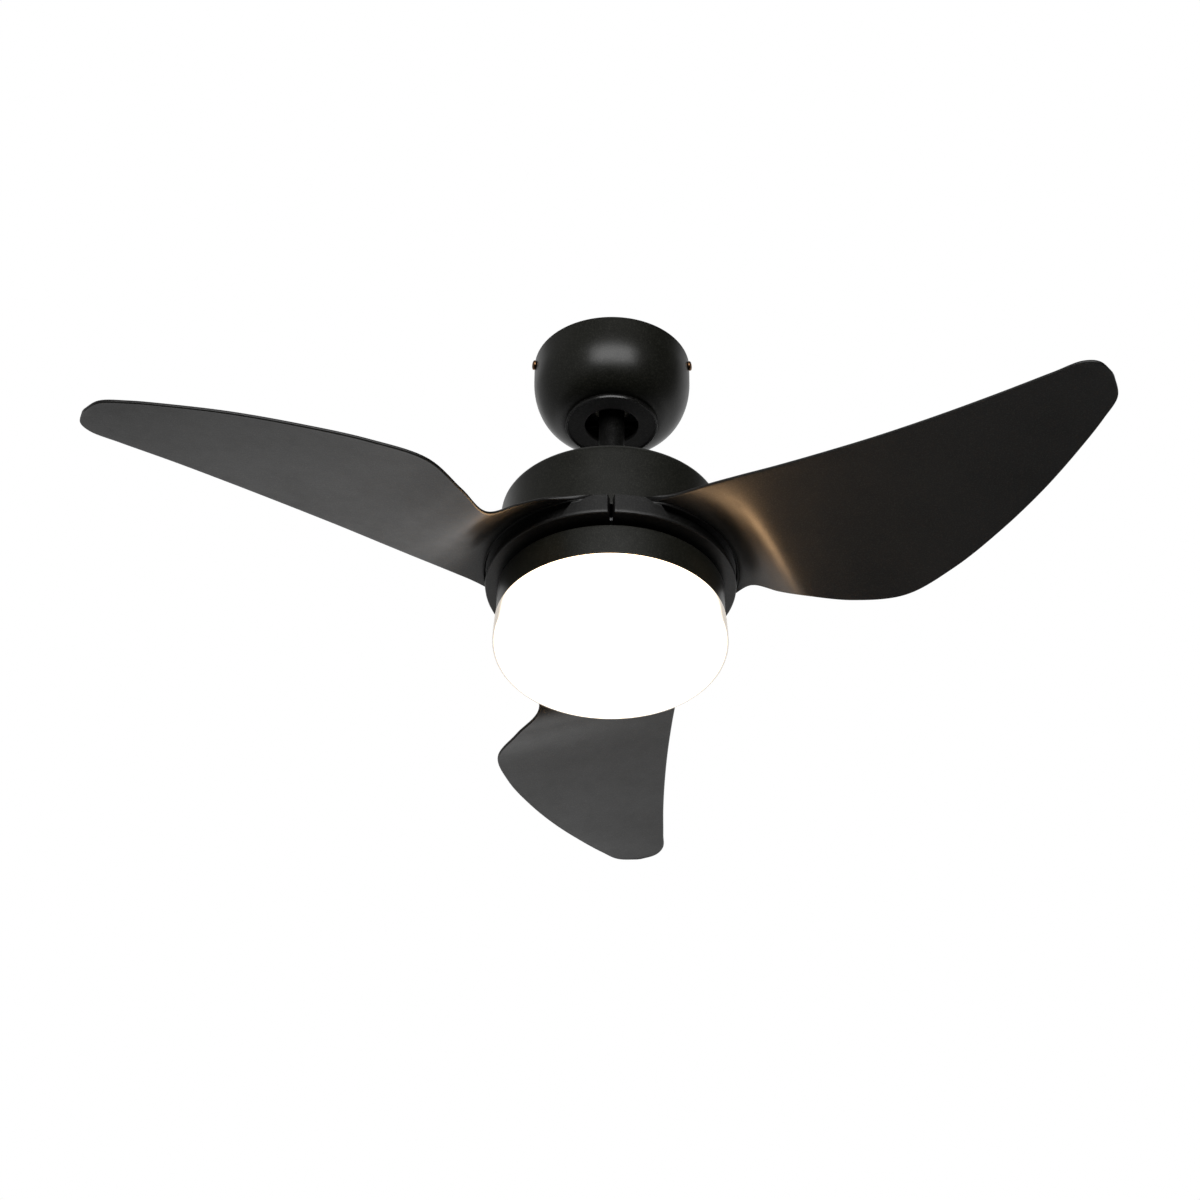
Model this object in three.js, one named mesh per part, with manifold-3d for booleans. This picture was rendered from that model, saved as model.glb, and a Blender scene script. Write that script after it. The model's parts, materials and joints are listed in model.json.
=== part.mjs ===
// Ceiling fan with light: three moulded blades on a hub ring, a drum motor housing above it, a drum
// light kit with an opal glass shade below it, and a downrod that hangs by a ball in a ceiling bracket.
// Millimetres, +Z up. The origin is on the ceiling plane, on the axis of the downrod.
// Front is -Y. One blade points to +Y, and the others follow every 120 degrees.

import * as THREE from "three";
import { mergeVertices } from "three/addons/utils/BufferGeometryUtils.js";
import Module from "manifold-3d";

const wasm = await Module();
wasm.setup();

// ---------------------------------------------------------------- driving dimensions

const CLEARANCE = 0.3; // gap left between pieces that touch
const ROUND_STEPS = 32; // facets round a large turned piece
const SMALL_STEPS = 10; // facets round a small turned piece

const PLATE = 2; // folded steel of the ceiling bracket
const BRACKET = { length: 140, width: 40, earDrop: 22, armX: 34, armDrop: 56, seatPlate: 3 };
const BRACKET_HOLES = { fixingX: 58, fixing: 2.8, groundX: -50, ground: 2.2, wireX: 20, wire: 6 };
const BALL = { z: -42, radius: 24, cutAbove: 15, cutBelow: 18 };
const ROD = { radius: 13.1, bore: 11, top: -23, bottom: -172 };
const PIN = { radius: 3, halfLength: 20 };
const LEAD = { radius: 2.8, y: 7 };
const TERMINAL = { x: [42, 62], y: [-11, 11], low: -15, entry: 1.8, entryZ: -11, entrySpacing: 7 };
const RECEIVER = { halfX: 33, y: [25, 48], low: -40, height: 27, corner: 3 };
const GROUND_SCREW = { head: 4, headHeight: 2.4, shank: 1.9, length: 2 };

const CANOPY = { radius: 80, wall: 1.2, rim: -2, curveTop: -23.6, bottom: -75.7, lipRadius: 47.2 };
const CANOPY_LIP_INNER = 44;
const TRIM = { radius: 47.1, hole: 27.4, top: -76, bottom: -80.4, recess: 1, rimWidth: 1.8 };
const TRIM_COLLAR = { outer: 43.6, inner: 42.2, height: 3 };
const CANOPY_SCREW = { angles: [190, 350], z: -11, head: 5, headHeight: 3.6, shank: 2, length: 13 };

const HOUSING = { radius: 109.2, wall: 1.6, bottom: -266, curveStart: -201, top: -185, hole: 22 };
const HOUSING_SQUARENESS = 4; // exponent of the shoulder's superellipse
const HOUSING_SCREW = { circle: 28, angles: [30, 150, 270], hole: 2.1, shank: 1.8, head: 3.6, length: 6.5 };

const HUB = { z: -285, radius: 123, low: -1.5, high: 19.7, inner: 84, plate: 3, wallInner: 112 };
const GROOVE = { inner: 116.5, low: 2.5, high: 16, start: -36, end: 40.5 };
const SEAM_GAP = 4; // slot between two neighbouring blade roots
const BLADE_AZIMUTHS = [90, 210, 330];
const BLADE_THICKNESS = 3.6;
const BLADE_SCREW = { circle: 95, angles: [-32, 32], hole: 2.4, shank: 2, head: 4, length: 6 };

const KIT = { radius: 111.2, wall: 1.6, top: -292.5, bottom: -325.3 };
const KIT_SCREW = { circle: 50, angles: [60, 180, 300], hole: 2.3, shank: 1.9, head: 3.8, length: 4.5 };
const SUPPORT = { radius: 62, top: KIT.top - KIT.wall - CLEARANCE, thickness: 2.5 };
const SUPPORT_BOTTOM = SUPPORT.top - SUPPORT.thickness;
const DRIVER = { x: [20.5, 56], halfY: 33, low: -317, ribDepth: 0.6, ribSpacing: 12 };
const HEAT_PLATE = { radius: 97, inner: 14.8, tube: 17.8, top: -319.4, bottom: -321 };
const LED_BOARD = { inner: 6, radius: 93, top: -321.3, bottom: -322.9, emitterBottom: -323.8 };
const LED_RINGS = [{ radius: 40, count: 6 }, { radius: 78, count: 12 }];
const BAYONET = { angles: [30, 150, 270], halfAngle: 7, lugRadius: 108.6, lugLow: -318.6, lugHigh: -317 };
const BAYONET_TAB = { depth: 1.5, low: -321, high: -319 };
const SHADE_BAND = { outer: 107.4, low: -325.5 };
const GLASS = { wall: 3, neck: 105.8, neckTop: -317.5, ledge: -325.9, radius: 113.9, bottom: -375 };
const GLASS_CORNER = { radius: 21.6, z: -351 };

const SHAFT = { radius: 8.5, bore: 4.5, top: -178, bottom: -308 };
const YOKE = { collar: 19, top: -150, flange: 34, flangeTop: -187.5, flangeBottom: -192.5 };
const YOKE_HUB = { radius: 15, bottom: -200 };
const YOKE_PIN = { z: -163, radius: 3, halfLength: 23 };
const YOKE_SCREW = { z: -156, radius: 2, head: 3.6, headHeight: 2.7 };
const YOKE_COVER_WALL = 1.5;
const STATOR = { radius: 76, hub: 36, low: -262, high: -246, slots: 9, tooth: 12 };
const COIL = { inner: 43, outer: 66, gap: 0.4, sideBuild: 3.6, endBuild: 4, chamfer: 2 };
const MAGNET = { gap: 1, low: -266, high: -242 };
const ROTOR = { radius: 84, wall: 2.5, top: -221, carrierTop: -279.5, carrierBottom: -283.2 };
const ROTOR_CARRIER_RADIUS = 105;
const BEARING = { bore: 8.6, radius: 15.8, height: 7 };
const BEARING_SEAT = { wall: 4, play: 0.2, upperDepth: 12, lowerHeight: 9, floor: 1.5 };
const SHAFT_NUT = { halfWidth: 14, upper: [-292.2, -287], lowerBottom: -303.5 };
const LOW_SCREW_HEAD = 2; // height of the housing, kit and blade screws' heads

// ---------------------------------------------------------------- materials

function finish(color, roughness, metalness) {
  return new THREE.MeshStandardMaterial({ color, roughness, metalness });
}

const satinBlack = finish(0x2a2a28, 0.45, 0.1);
const blackPlastic = finish(0x2b2927, 0.5, 0);
const darkPlastic = finish(0x191919, 0.6, 0);
const bronze = finish(0x6b4a2e, 0.35, 0.9);
const zinc = finish(0xb9bcc0, 0.35, 0.9);
const steel = finish(0x8d9095, 0.4, 0.9);
const castAluminium = finish(0xa9acb0, 0.5, 0.8);
const laminate = finish(0x5a5c60, 0.5, 0.7);
const copper = finish(0xb4653a, 0.35, 0.9);
const ferrite = finish(0x2d2d30, 0.7, 0.1);
const nylon = finish(0xe6e2d8, 0.5, 0);
const opalGlass = finish(0xfffaf0, 0.25, 0);
const whiteBoard = finish(0xf3f3ee, 0.5, 0);
const greenPaint = finish(0x2f7a3d, 0.4, 0.3);

// ---------------------------------------------------------------- shape helpers

function toSolid(geometry) {
  const bare = geometry.clone();
  bare.deleteAttribute("normal");
  bare.deleteAttribute("uv");
  const merged = mergeVertices(bare, 1e-4);
  return new wasm.Manifold(
    new wasm.Mesh({
      numProp: 3,
      vertProperties: new Float32Array(merged.attributes.position.array),
      triVerts: new Uint32Array(merged.index.array),
    }),
  );
}

function toGeometry(solid) {
  const mesh = solid.getMesh();
  const geometry = new THREE.BufferGeometry();
  geometry.setAttribute("position", new THREE.BufferAttribute(mesh.vertProperties, 3));
  geometry.setIndex(new THREE.BufferAttribute(mesh.triVerts, 1));
  geometry.computeVertexNormals();
  return geometry;
}

function cut(geometry, ...tools) {
  const solid = tools.reduce((rest, tool) => rest.subtract(toSolid(tool)), toSolid(geometry));
  return toGeometry(solid);
}

function join(...pieces) {
  const [first, ...others] = pieces.map(toSolid);
  return toGeometry(others.reduce((whole, piece) => whole.add(piece), first));
}

function overlapOf(a, b) {
  return toGeometry(toSolid(a).intersect(toSolid(b)));
}

// A profile of [radius, height] pairs turned about Z. It closes on itself, or starts and ends on the axis.
function turned(profile, steps = ROUND_STEPS) {
  const points = profile.map(([r, z]) => new THREE.Vector2(r, z));
  const onAxis = profile[0][0] === 0 && profile.at(-1)[0] === 0;
  if (THREE.ShapeUtils.isClockWise(points)) points.reverse();
  if (!onAxis) points.push(points[0].clone());
  return new THREE.LatheGeometry(points, steps).rotateX(Math.PI / 2);
}

function ring(inner, outer, low, high, steps = ROUND_STEPS) {
  return turned([[inner, low], [outer, low], [outer, high], [inner, high]], steps);
}

function rodAlongZ(radius, low, high, steps = SMALL_STEPS) {
  return new THREE.CylinderGeometry(radius, radius, high - low, steps)
    .rotateX(Math.PI / 2)
    .translate(0, 0, (low + high) / 2);
}

function rodAlongX(radius, low, high, steps = SMALL_STEPS) {
  return rodAlongZ(radius, low, high, steps).rotateY(Math.PI / 2);
}

function block(x, y, z) {
  return new THREE.BoxGeometry(x[1] - x[0], y[1] - y[0], z[1] - z[0]).translate(
    (x[0] + x[1]) / 2,
    (y[0] + y[1]) / 2,
    (z[0] + z[1]) / 2,
  );
}

function polar(radius, degrees) {
  const angle = THREE.MathUtils.degToRad(degrees);
  return [radius * Math.cos(angle), radius * Math.sin(angle)];
}

// A flat outline in XY, raised from low to high.
function slab(outline, low, high, holes = []) {
  const shape = new THREE.Shape(outline.map(([x, y]) => new THREE.Vector2(x, y)));
  shape.holes = holes.map((hole) => new THREE.Path(hole.map(([x, y]) => new THREE.Vector2(x, y))));
  const settings = { depth: high - low, bevelEnabled: false };
  return new THREE.ExtrudeGeometry(shape, settings).translate(0, 0, low);
}

// A wedge about Z between two azimuths, for cutting sectors out of turned pieces.
function wedge(from, to, low, high, reach = 200) {
  const rim = [];
  const step = (to - from) / 8;
  for (let i = 0; i <= 8; i += 1) rim.push(polar(reach, from + step * i));
  return slab([[0, 0], ...rim], low, high);
}

// Points of a quarter curve from (r0, z0), where it is upright, to (r1, z1), where it is level.
function quarterCurve(r0, z0, r1, z1, steps, exponent = 2) {
  const points = [];
  for (let i = 1; i <= steps; i += 1) {
    const angle = (Math.PI / 2) * (i / steps);
    const across = Math.cos(angle) ** (2 / exponent);
    const along = Math.sin(angle) ** (2 / exponent);
    points.push([r1 + (r0 - r1) * (i === steps ? 0 : across), z0 + (z1 - z0) * along]);
  }
  return points;
}

// A pan-head screw whose head sits above z = 0 and whose shank points down.
function screwGeometry(head, headHeight, shank, length) {
  const crown = headHeight * 0.55;
  const body = turned(
    [[0, -length], [shank, -length], [shank, 0], [head, 0], [head, crown],
      [head * 0.7, headHeight], [0, headHeight]],
    SMALL_STEPS,
  );
  const slotLength = head * 0.8;
  const slotHalf = head * 0.14;
  const slotFloor = headHeight * 0.6;
  const slot = block([-slotLength, slotLength], [-slotHalf, slotHalf], [slotFloor, headHeight + 1]);
  return cut(body, slot);
}

function screwPlaces({ circle, angles }) {
  return angles.map((angle) => polar(circle, angle));
}

const HOUSING_SCREW_PLACES = screwPlaces(HOUSING_SCREW);
const BLADE_SCREW_PLACES = screwPlaces(BLADE_SCREW);
const KIT_SCREW_PLACES = screwPlaces(KIT_SCREW);

// Upright holes at a list of places.
function holesAt(places, radius, low, high) {
  return places.map(([x, y]) => rodAlongZ(radius, low, high, 12).translate(x, y, 0));
}

// ---------------------------------------------------------------- ceiling bracket and canopy

const fan = new THREE.Group();

function add(name, geometry, material, parent = fan) {
  const mesh = new THREE.Mesh(geometry, material);
  mesh.name = name;
  parent.add(mesh);
  return mesh;
}

function canopyScrewHoles(from, to) {
  return CANOPY_SCREW.angles.map((angle) =>
    rodAlongX(CANOPY_SCREW.shank + CLEARANCE, from, to)
      .translate(0, 0, CANOPY_SCREW.z)
      .rotateZ(THREE.MathUtils.degToRad(angle)),
  );
}

// Ceiling bracket: a folded strap with two ears for the canopy screws and a cup for the hanger ball.
function hangerBracket() {
  const { length, width, earDrop, armX, armDrop } = BRACKET;
  const halfLength = length / 2;
  const across = [-width / 2, width / 2];
  const top = block([-halfLength, halfLength], across, [-PLATE, 0]);
  const pieces = [top];
  for (const side of [-1, 1]) {
    const ear = [side * halfLength, side * (halfLength - PLATE)].sort((a, b) => a - b);
    const arm = [side * armX, side * (armX + PLATE)].sort((a, b) => a - b);
    pieces.push(block(ear, across, [-earDrop, -PLATE / 2]));
    pieces.push(block(arm, across, [-armDrop, -PLATE / 2]));
  }
  const seat = [-armDrop, -armDrop + BRACKET.seatPlate];
  pieces.push(block([-armX - PLATE, armX + PLATE], across, seat));
  const ballSpace = new THREE.SphereGeometry(BALL.radius + CLEARANCE, 24, 16).translate(0, 0, BALL.z);
  const slotHalf = ROD.radius + 1.4;
  const rodSlot = block([-slotHalf, slotHalf], [0, width], [seat[0] - 1, seat[1] + 1]);
  const holes = BRACKET_HOLES;
  const topHole = (x, radius) => rodAlongZ(radius, -PLATE - 1, 1).translate(x, 0, 0);
  const topHoles = [
    topHole(holes.wireX, holes.wire),
    topHole(holes.groundX, holes.ground),
    topHole(-holes.fixingX, holes.fixing),
    topHole(holes.fixingX, holes.fixing),
  ];
  const earHoles = canopyScrewHoles(halfLength - 10, halfLength + 10);
  return cut(join(...pieces), ballSpace, rodSlot, ...topHoles, ...earHoles);
}

function canopyCover() {
  const { radius, wall, rim, curveTop, bottom, lipRadius } = CANOPY;
  const outside = quarterCurve(radius, curveTop, lipRadius, bottom, 6);
  const inside = quarterCurve(radius - wall, curveTop, lipRadius - wall, bottom + wall, 6);
  const shell = turned([
    [radius - wall, rim],
    [radius, rim],
    [radius, curveTop],
    ...outside,
    [CANOPY_LIP_INNER, bottom],
    [CANOPY_LIP_INNER, bottom + wall],
    ...inside.reverse(),
    [radius - wall, curveTop],
  ]);
  return cut(shell, ...canopyScrewHoles(radius - 10, radius + 10));
}

function canopyTrimRing() {
  const { radius, hole, top, bottom, rimWidth } = TRIM;
  const { outer, inner, height } = TRIM_COLLAR;
  const recessed = bottom + TRIM.recess;
  const chamfer = 0.8;
  return turned([
    [hole, recessed + chamfer],
    [hole + chamfer, recessed],
    [radius - rimWidth - chamfer, recessed],
    [radius - rimWidth, bottom],
    [radius - chamfer, bottom],
    [radius, bottom + chamfer],
    [radius, top],
    [outer, top],
    [outer, top + height],
    [inner, top + height],
    [inner, top],
    [hole, top],
  ]);
}

// Terminal block with three wire entries, and a hole that leaves room for a ceiling screw.
function terminalBlock() {
  const { x, y, low, entry, entryZ, entrySpacing } = TERMINAL;
  const body = block(x, y, [low, -PLATE - CLEARANCE]);
  const entries = [-entrySpacing, 0, entrySpacing].map((offset) =>
    rodAlongX(entry, x[0] - 4, x[0] + 8, 12).translate(0, offset, entryZ),
  );
  const screwRoom = rodAlongZ(BRACKET_HOLES.fixing + 0.6, low - 1, 0);
  screwRoom.translate(BRACKET_HOLES.fixingX, 0, 0);
  return cut(body, screwRoom, ...entries);
}

function receiverBox() {
  const { halfX, y, low, height, corner } = RECEIVER;
  const [y0, y1] = y;
  const outline = new THREE.Shape();
  outline.moveTo(-halfX + corner, y0);
  outline.lineTo(halfX - corner, y0);
  outline.absarc(halfX - corner, y0 + corner, corner, -Math.PI / 2, 0);
  outline.lineTo(halfX, y1 - corner);
  outline.absarc(halfX - corner, y1 - corner, corner, 0, Math.PI / 2);
  outline.lineTo(-halfX + corner, y1);
  outline.absarc(-halfX + corner, y1 - corner, corner, Math.PI / 2, Math.PI);
  outline.lineTo(-halfX, y0 + corner);
  outline.absarc(-halfX + corner, y0 + corner, corner, Math.PI, Math.PI * 1.5);
  const settings = { depth: height, bevelEnabled: false, curveSegments: 4 };
  return new THREE.ExtrudeGeometry(outline, settings).translate(0, 0, low);
}

// ---------------------------------------------------------------- downrod, yoke and housing

function hangerBall() {
  const { z, radius, cutAbove, cutBelow } = BALL;
  const sphere = new THREE.SphereGeometry(radius, 24, 16).rotateX(Math.PI / 2).translate(0, 0, z);
  const band = block([-radius, radius], [-radius, radius], [z - cutBelow, z + cutAbove]);
  const rodBore = rodAlongZ(ROD.radius + CLEARANCE, z - radius, z + radius, 32);
  const pinBore = rodAlongX(PIN.radius + CLEARANCE, -radius - 1, radius + 1).translate(0, 0, z);
  return cut(overlapOf(sphere, band), rodBore, pinBore);
}

function ballPin() {
  return rodAlongX(PIN.radius, -PIN.halfLength, PIN.halfLength).translate(0, 0, BALL.z);
}

function downrod() {
  const tube = ring(ROD.bore, ROD.radius, ROD.bottom, ROD.top, 32);
  const pinHoles = [BALL.z, YOKE_PIN.z].map((z) =>
    rodAlongX(PIN.radius + CLEARANCE, -20, 20).translate(0, 0, z),
  );
  return cut(tube, ...pinHoles);
}

// Three-core lead inside the downrod, from the ball down to the hollow motor shaft.
function motorLead() {
  const path = new THREE.LineCurve3(
    new THREE.Vector3(0, LEAD.y, ROD.bottom + 2),
    new THREE.Vector3(0, LEAD.y, ROD.top - 2),
  );
  const section = new THREE.Shape().absarc(0, 0, LEAD.radius, 0, Math.PI * 2);
  const settings = { extrudePath: path, steps: 12, curveSegments: 5, bevelEnabled: false };
  return new THREE.ExtrudeGeometry(section, settings);
}

// Coupling on top of the motor shaft: a collar for the downrod on a round flange.
function motorYoke() {
  const { collar, top, flange, flangeTop, flangeBottom } = YOKE;
  const rodSeat = ROD.bottom - 1;
  const rodBore = ROD.radius + CLEARANCE;
  const shaftBore = SHAFT.radius + CLEARANCE;
  const body = turned(
    [[shaftBore, YOKE_HUB.bottom], [YOKE_HUB.radius, YOKE_HUB.bottom], [YOKE_HUB.radius, flangeBottom],
      [flange, flangeBottom], [flange, flangeTop], [collar, flangeTop], [collar, top - 2],
      [collar - 2, top], [rodBore, top], [rodBore, rodSeat], [shaftBore, rodSeat]],
    24,
  );
  const pinHole = rodAlongX(YOKE_PIN.radius + CLEARANCE, -25, 25).translate(0, 0, YOKE_PIN.z);
  const setHole = rodAlongX(YOKE_SCREW.radius + CLEARANCE, -25, 25)
    .rotateZ(Math.PI / 2)
    .translate(0, 0, YOKE_SCREW.z);
  const screwHoles = holesAt(HOUSING_SCREW_PLACES, HOUSING_SCREW.hole, flangeBottom - 1, flangeTop + 1);
  return cut(body, pinHole, setHole, ...screwHoles);
}

// Bell-shaped cover over the yoke, open at the foot, with a collar round the downrod.
function yokeCover() {
  const foot = HOUSING.top + CLEARANCE;
  const outer = [[39, foot], [39, foot + 5], [34, -172], [27, -157], [21.5, -145], [19, -139.5]];
  const inner = outer.slice(0, -1).map(([r, z]) => [r - YOKE_COVER_WALL, z]);
  const collar = [[14, -138], [14, -138 - YOKE_COVER_WALL], [17.5, -140.8]];
  return turned([...outer, ...collar, ...inner.reverse()], 24);
}

function upperHousing() {
  const { radius, wall, bottom, curveStart, top, hole } = HOUSING;
  const n = HOUSING_SQUARENESS;
  const clear = ([r]) => r > hole + 1;
  const outside = quarterCurve(radius, curveStart, 0, top, 7, n).filter(clear);
  const inside = quarterCurve(radius - wall, curveStart, 0, top - wall, 7, n).filter(clear);
  const shell = turned([
    [radius - wall, bottom],
    [radius, bottom],
    [radius, curveStart],
    ...outside,
    [hole, top],
    [hole, top - wall],
    ...inside.reverse(),
    [radius - wall, curveStart],
  ]);
  return cut(shell, ...holesAt(HOUSING_SCREW_PLACES, HOUSING_SCREW.hole, top - 4, top + 2));
}

// ---------------------------------------------------------------- motor

function motorShaft() {
  return ring(SHAFT.bore, SHAFT.radius, SHAFT.bottom, SHAFT.top, 24);
}

// Laminated core: a hub and one T-shaped tooth for each coil.
function statorCore() {
  const { radius, hub, low, high, slots, tooth } = STATOR;
  const shoe = { inner: radius - 5, halfAngle: 17 };
  const neckLength = 2;
  const toothHalf = tooth / 2;
  const outline = [];
  for (let i = 0; i < slots; i += 1) {
    const middle = (360 / slots) * i;
    const local = (x, y) => {
      const [cos, sin] = polar(1, middle);
      return [x * cos - y * sin, x * sin + y * cos];
    };
    const rootX = Math.sqrt(hub ** 2 - toothHalf ** 2);
    outline.push(local(rootX, -toothHalf));
    outline.push(local(shoe.inner - neckLength, -toothHalf));
    outline.push(polar(shoe.inner, middle - shoe.halfAngle));
    for (let a = -shoe.halfAngle; a <= shoe.halfAngle; a += shoe.halfAngle / 2) {
      outline.push(polar(radius, middle + a));
    }
    outline.push(polar(shoe.inner, middle + shoe.halfAngle));
    outline.push(local(shoe.inner - neckLength, toothHalf));
    outline.push(local(rootX, toothHalf));
    outline.push(polar(hub, middle + 180 / slots));
  }
  const bore = [];
  for (let a = 0; a < 360; a += 15) bore.push(polar(SHAFT.radius + CLEARANCE, a));
  return slab(outline, low, high, [bore]);
}

function statorCoil() {
  const { gap, chamfer } = COIL;
  const inner = { y: STATOR.tooth / 2 + gap, z: (STATOR.high - STATOR.low) / 2 + gap };
  const outer = { y: inner.y + COIL.sideBuild, z: inner.z + COIL.endBuild };
  const loop = [
    [-outer.y + chamfer, -outer.z], [outer.y - chamfer, -outer.z], [outer.y, -outer.z + chamfer],
    [outer.y, outer.z - chamfer], [outer.y - chamfer, outer.z], [-outer.y + chamfer, outer.z],
    [-outer.y, outer.z - chamfer], [-outer.y, -outer.z + chamfer],
  ];
  const hole = [[-inner.y, -inner.z], [inner.y, -inner.z], [inner.y, inner.z], [-inner.y, inner.z]];
  return slab(loop, COIL.inner, COIL.outer, [hole])
    .rotateX(Math.PI / 2)
    .rotateZ(Math.PI / 2)
    .translate(0, 0, (STATOR.low + STATOR.high) / 2);
}

function magnetRing() {
  const outer = ROTOR.radius - ROTOR.wall - CLEARANCE;
  return ring(STATOR.radius + MAGNET.gap, outer, MAGNET.low, MAGNET.high);
}

// Rotor bell over the stator, with a seat for the upper bearing under its crown.
function rotorBell() {
  const { radius, wall, top, carrierTop } = ROTOR;
  const foot = carrierTop + CLEARANCE;
  const shaftHole = 12;
  const shoulder = 6;
  const seatInner = BEARING.radius + BEARING_SEAT.play;
  const seatOuter = BEARING.radius + BEARING_SEAT.wall;
  const seatBottom = top - BEARING_SEAT.upperDepth;
  return turned([
    [shaftHole, top], [shaftHole, top - wall], [seatInner, top - wall], [seatInner, seatBottom],
    [seatOuter, seatBottom], [seatOuter, top - wall], [radius - wall - shoulder, top - wall],
    [radius - wall, top - wall - shoulder], [radius - wall, foot], [radius, foot],
    [radius, top - shoulder], [radius - shoulder, top],
  ]);
}

// Blade carrier under the bell, with the lower bearing's seat standing on it.
function rotorCarrier() {
  const { carrierTop, carrierBottom } = ROTOR;
  const shaftHole = 12;
  const seatInner = BEARING.radius + BEARING_SEAT.play;
  const seatOuter = BEARING.radius + BEARING_SEAT.wall;
  const seatTop = carrierTop + BEARING_SEAT.lowerHeight;
  const seatFloor = carrierBottom + BEARING_SEAT.floor;
  const disc = turned([
    [shaftHole, carrierBottom], [ROTOR_CARRIER_RADIUS, carrierBottom], [ROTOR_CARRIER_RADIUS, carrierTop],
    [seatOuter, carrierTop], [seatOuter, seatTop], [seatInner, seatTop], [seatInner, seatFloor],
    [shaftHole, seatFloor],
  ]);
  const places = BLADE_AZIMUTHS.flatMap((azimuth) =>
    BLADE_SCREW.angles.map((angle) => polar(BLADE_SCREW.circle, azimuth + angle)),
  );
  return cut(disc, ...holesAt(places, BLADE_SCREW.hole, carrierBottom - 1, carrierTop + 1));
}

function bearing() {
  const { bore, radius, height } = BEARING;
  const shield = { inner: bore + 2, outer: radius - 2, depth: 0.5 };
  return turned(
    [[bore, 0], [radius, 0], [radius, height], [shield.outer, height],
      [shield.outer, height - shield.depth], [shield.inner, height - shield.depth],
      [shield.inner, height], [bore, height]],
    24,
  );
}

function hexNut(low, high) {
  const outline = [];
  for (let a = 0; a < 360; a += 60) outline.push(polar(SHAFT_NUT.halfWidth, a));
  return cut(slab(outline, low, high), rodAlongZ(SHAFT.radius + CLEARANCE, low - 1, high + 1, 24));
}

// ---------------------------------------------------------------- blades

// The underside's two long edges, paired from the root to the tip. X runs out along the blade, Y is
// anticlockwise from above, and Z is the height over the hub ring's lower edge.
const STRAIGHT_EDGE = [
  [97, -77, 16], [125, -76, 16.5], [150, -74.5, 16.8], [180, -72, 16.5], [215, -68.5, 16],
  [262, -64.5, 16], [318, -61, 16.2], [377, -59, 17.3], [437, -58.5, 19], [492, -59.5, 20.5],
  [521, -59.5, 21.4], [534, -52, 20.7], [539.5, -34, 18],
];
const BELLY_EDGE = [
  [86, 88, 16], [115, 76.5, 11], [145, 76, -8], [175, 72, -26.5], [214, 95.5, -31],
  [260, 116, -28.3], [315, 107, -22.5], [375, 85, -14], [431, 58.5, -4.6], [480, 29.5, 4.3],
  [512, 8, 10.5], [533, -10, 14.5], [539.5, -34, 18],
];
const ROOT_FADE = 3.2; // how many pairs of edge points the hub's round shape reaches out over
const ROOT_OVERLAP = 6; // how far the sheet runs on into the hub's wall
const EDGE_ROUNDING = 0.3; // how far the edge stands out at its middle, as a share of the thickness
const SECTIONS_PER_PAIR = 2;
const TIP_SECTION = 0.1; // how far before the last pair of points the blade's last section lies
const STRIPS = 6; // facets across the blade

function edgeCurve(points) {
  return new THREE.CatmullRomCurve3(points.map((p) => new THREE.Vector3(...p)), false, "centripetal");
}

// The underside at a place along the blade (0 to the number of pairs) and across it (0 to 1).
function undersidePoint(straight, belly, along, across) {
  const pairs = STRAIGHT_EDGE.length - 1;
  const a = straight.getPoint(along / pairs);
  const b = belly.getPoint(along / pairs);
  const point = a.clone().lerp(b, across);
  const fade = Math.max(0, 1 - along / ROOT_FADE) ** 2;
  if (fade > 0) {
    const rootA = new THREE.Vector3(...STRAIGHT_EDGE[0]);
    const rootB = new THREE.Vector3(...BELLY_EDGE[0]);
    const from = Math.atan2(rootA.y, rootA.x);
    const to = Math.atan2(rootB.y, rootB.x);
    const angle = from + (to - from) * across;
    const radius = rootA.length() + (rootB.length() - rootA.length()) * across;
    const onHub = new THREE.Vector3(radius * Math.cos(angle), radius * Math.sin(angle), 0);
    const onChord = rootA.lerp(rootB, across).setZ(0);
    point.add(onHub.sub(onChord).multiplyScalar(fade));
  }
  return point;
}

// One closed loop of points round the blade's section: underside, rounded edge, top, rounded edge.
function bladeSection(straight, belly, along) {
  const under = [];
  for (let i = 0; i <= STRIPS; i += 1) under.push(undersidePoint(straight, belly, along, i / STRIPS));
  const raise = (point, height) => point.clone().add(new THREE.Vector3(0, 0, height));
  const top = under.map((point) => raise(point, BLADE_THICKNESS)).reverse();
  const edgeOut = (edge, inner) => {
    const out = edge.clone().sub(inner).setZ(0).normalize();
    return raise(edge, BLADE_THICKNESS / 2).addScaledVector(out, BLADE_THICKNESS * EDGE_ROUNDING);
  };
  return [...under, edgeOut(under[STRIPS], under[STRIPS - 1]), ...top, edgeOut(under[0], under[1])];
}

// Closed skin over a list of loops with the same number of points, capped at both ends.
function skin(loops) {
  const count = loops[0].length;
  const positions = loops.flat().flatMap((p) => [p.x, p.y, p.z]);
  const faces = [];
  for (let i = 0; i + 1 < loops.length; i += 1) {
    for (let j = 0; j < count; j += 1) {
      const next = (j + 1) % count;
      const [a, b] = [i * count + j, i * count + next];
      const [c, d] = [a + count, b + count];
      faces.push(a, b, d, a, d, c);
    }
  }
  const last = (loops.length - 1) * count;
  for (let j = 0; j < count / 2 - 1; j += 1) {
    const [a, b, c, d] = [j, j + 1, count - 2 - j, (count - 1 - j) % count];
    if (b === c) continue;
    faces.push(a, c, b, a, d, c);
    faces.push(last + a, last + b, last + c, last + a, last + c, last + d);
  }
  const geometry = new THREE.BufferGeometry();
  geometry.setAttribute("position", new THREE.Float32BufferAttribute(positions, 3));
  geometry.setIndex(faces);
  return geometry;
}

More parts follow.
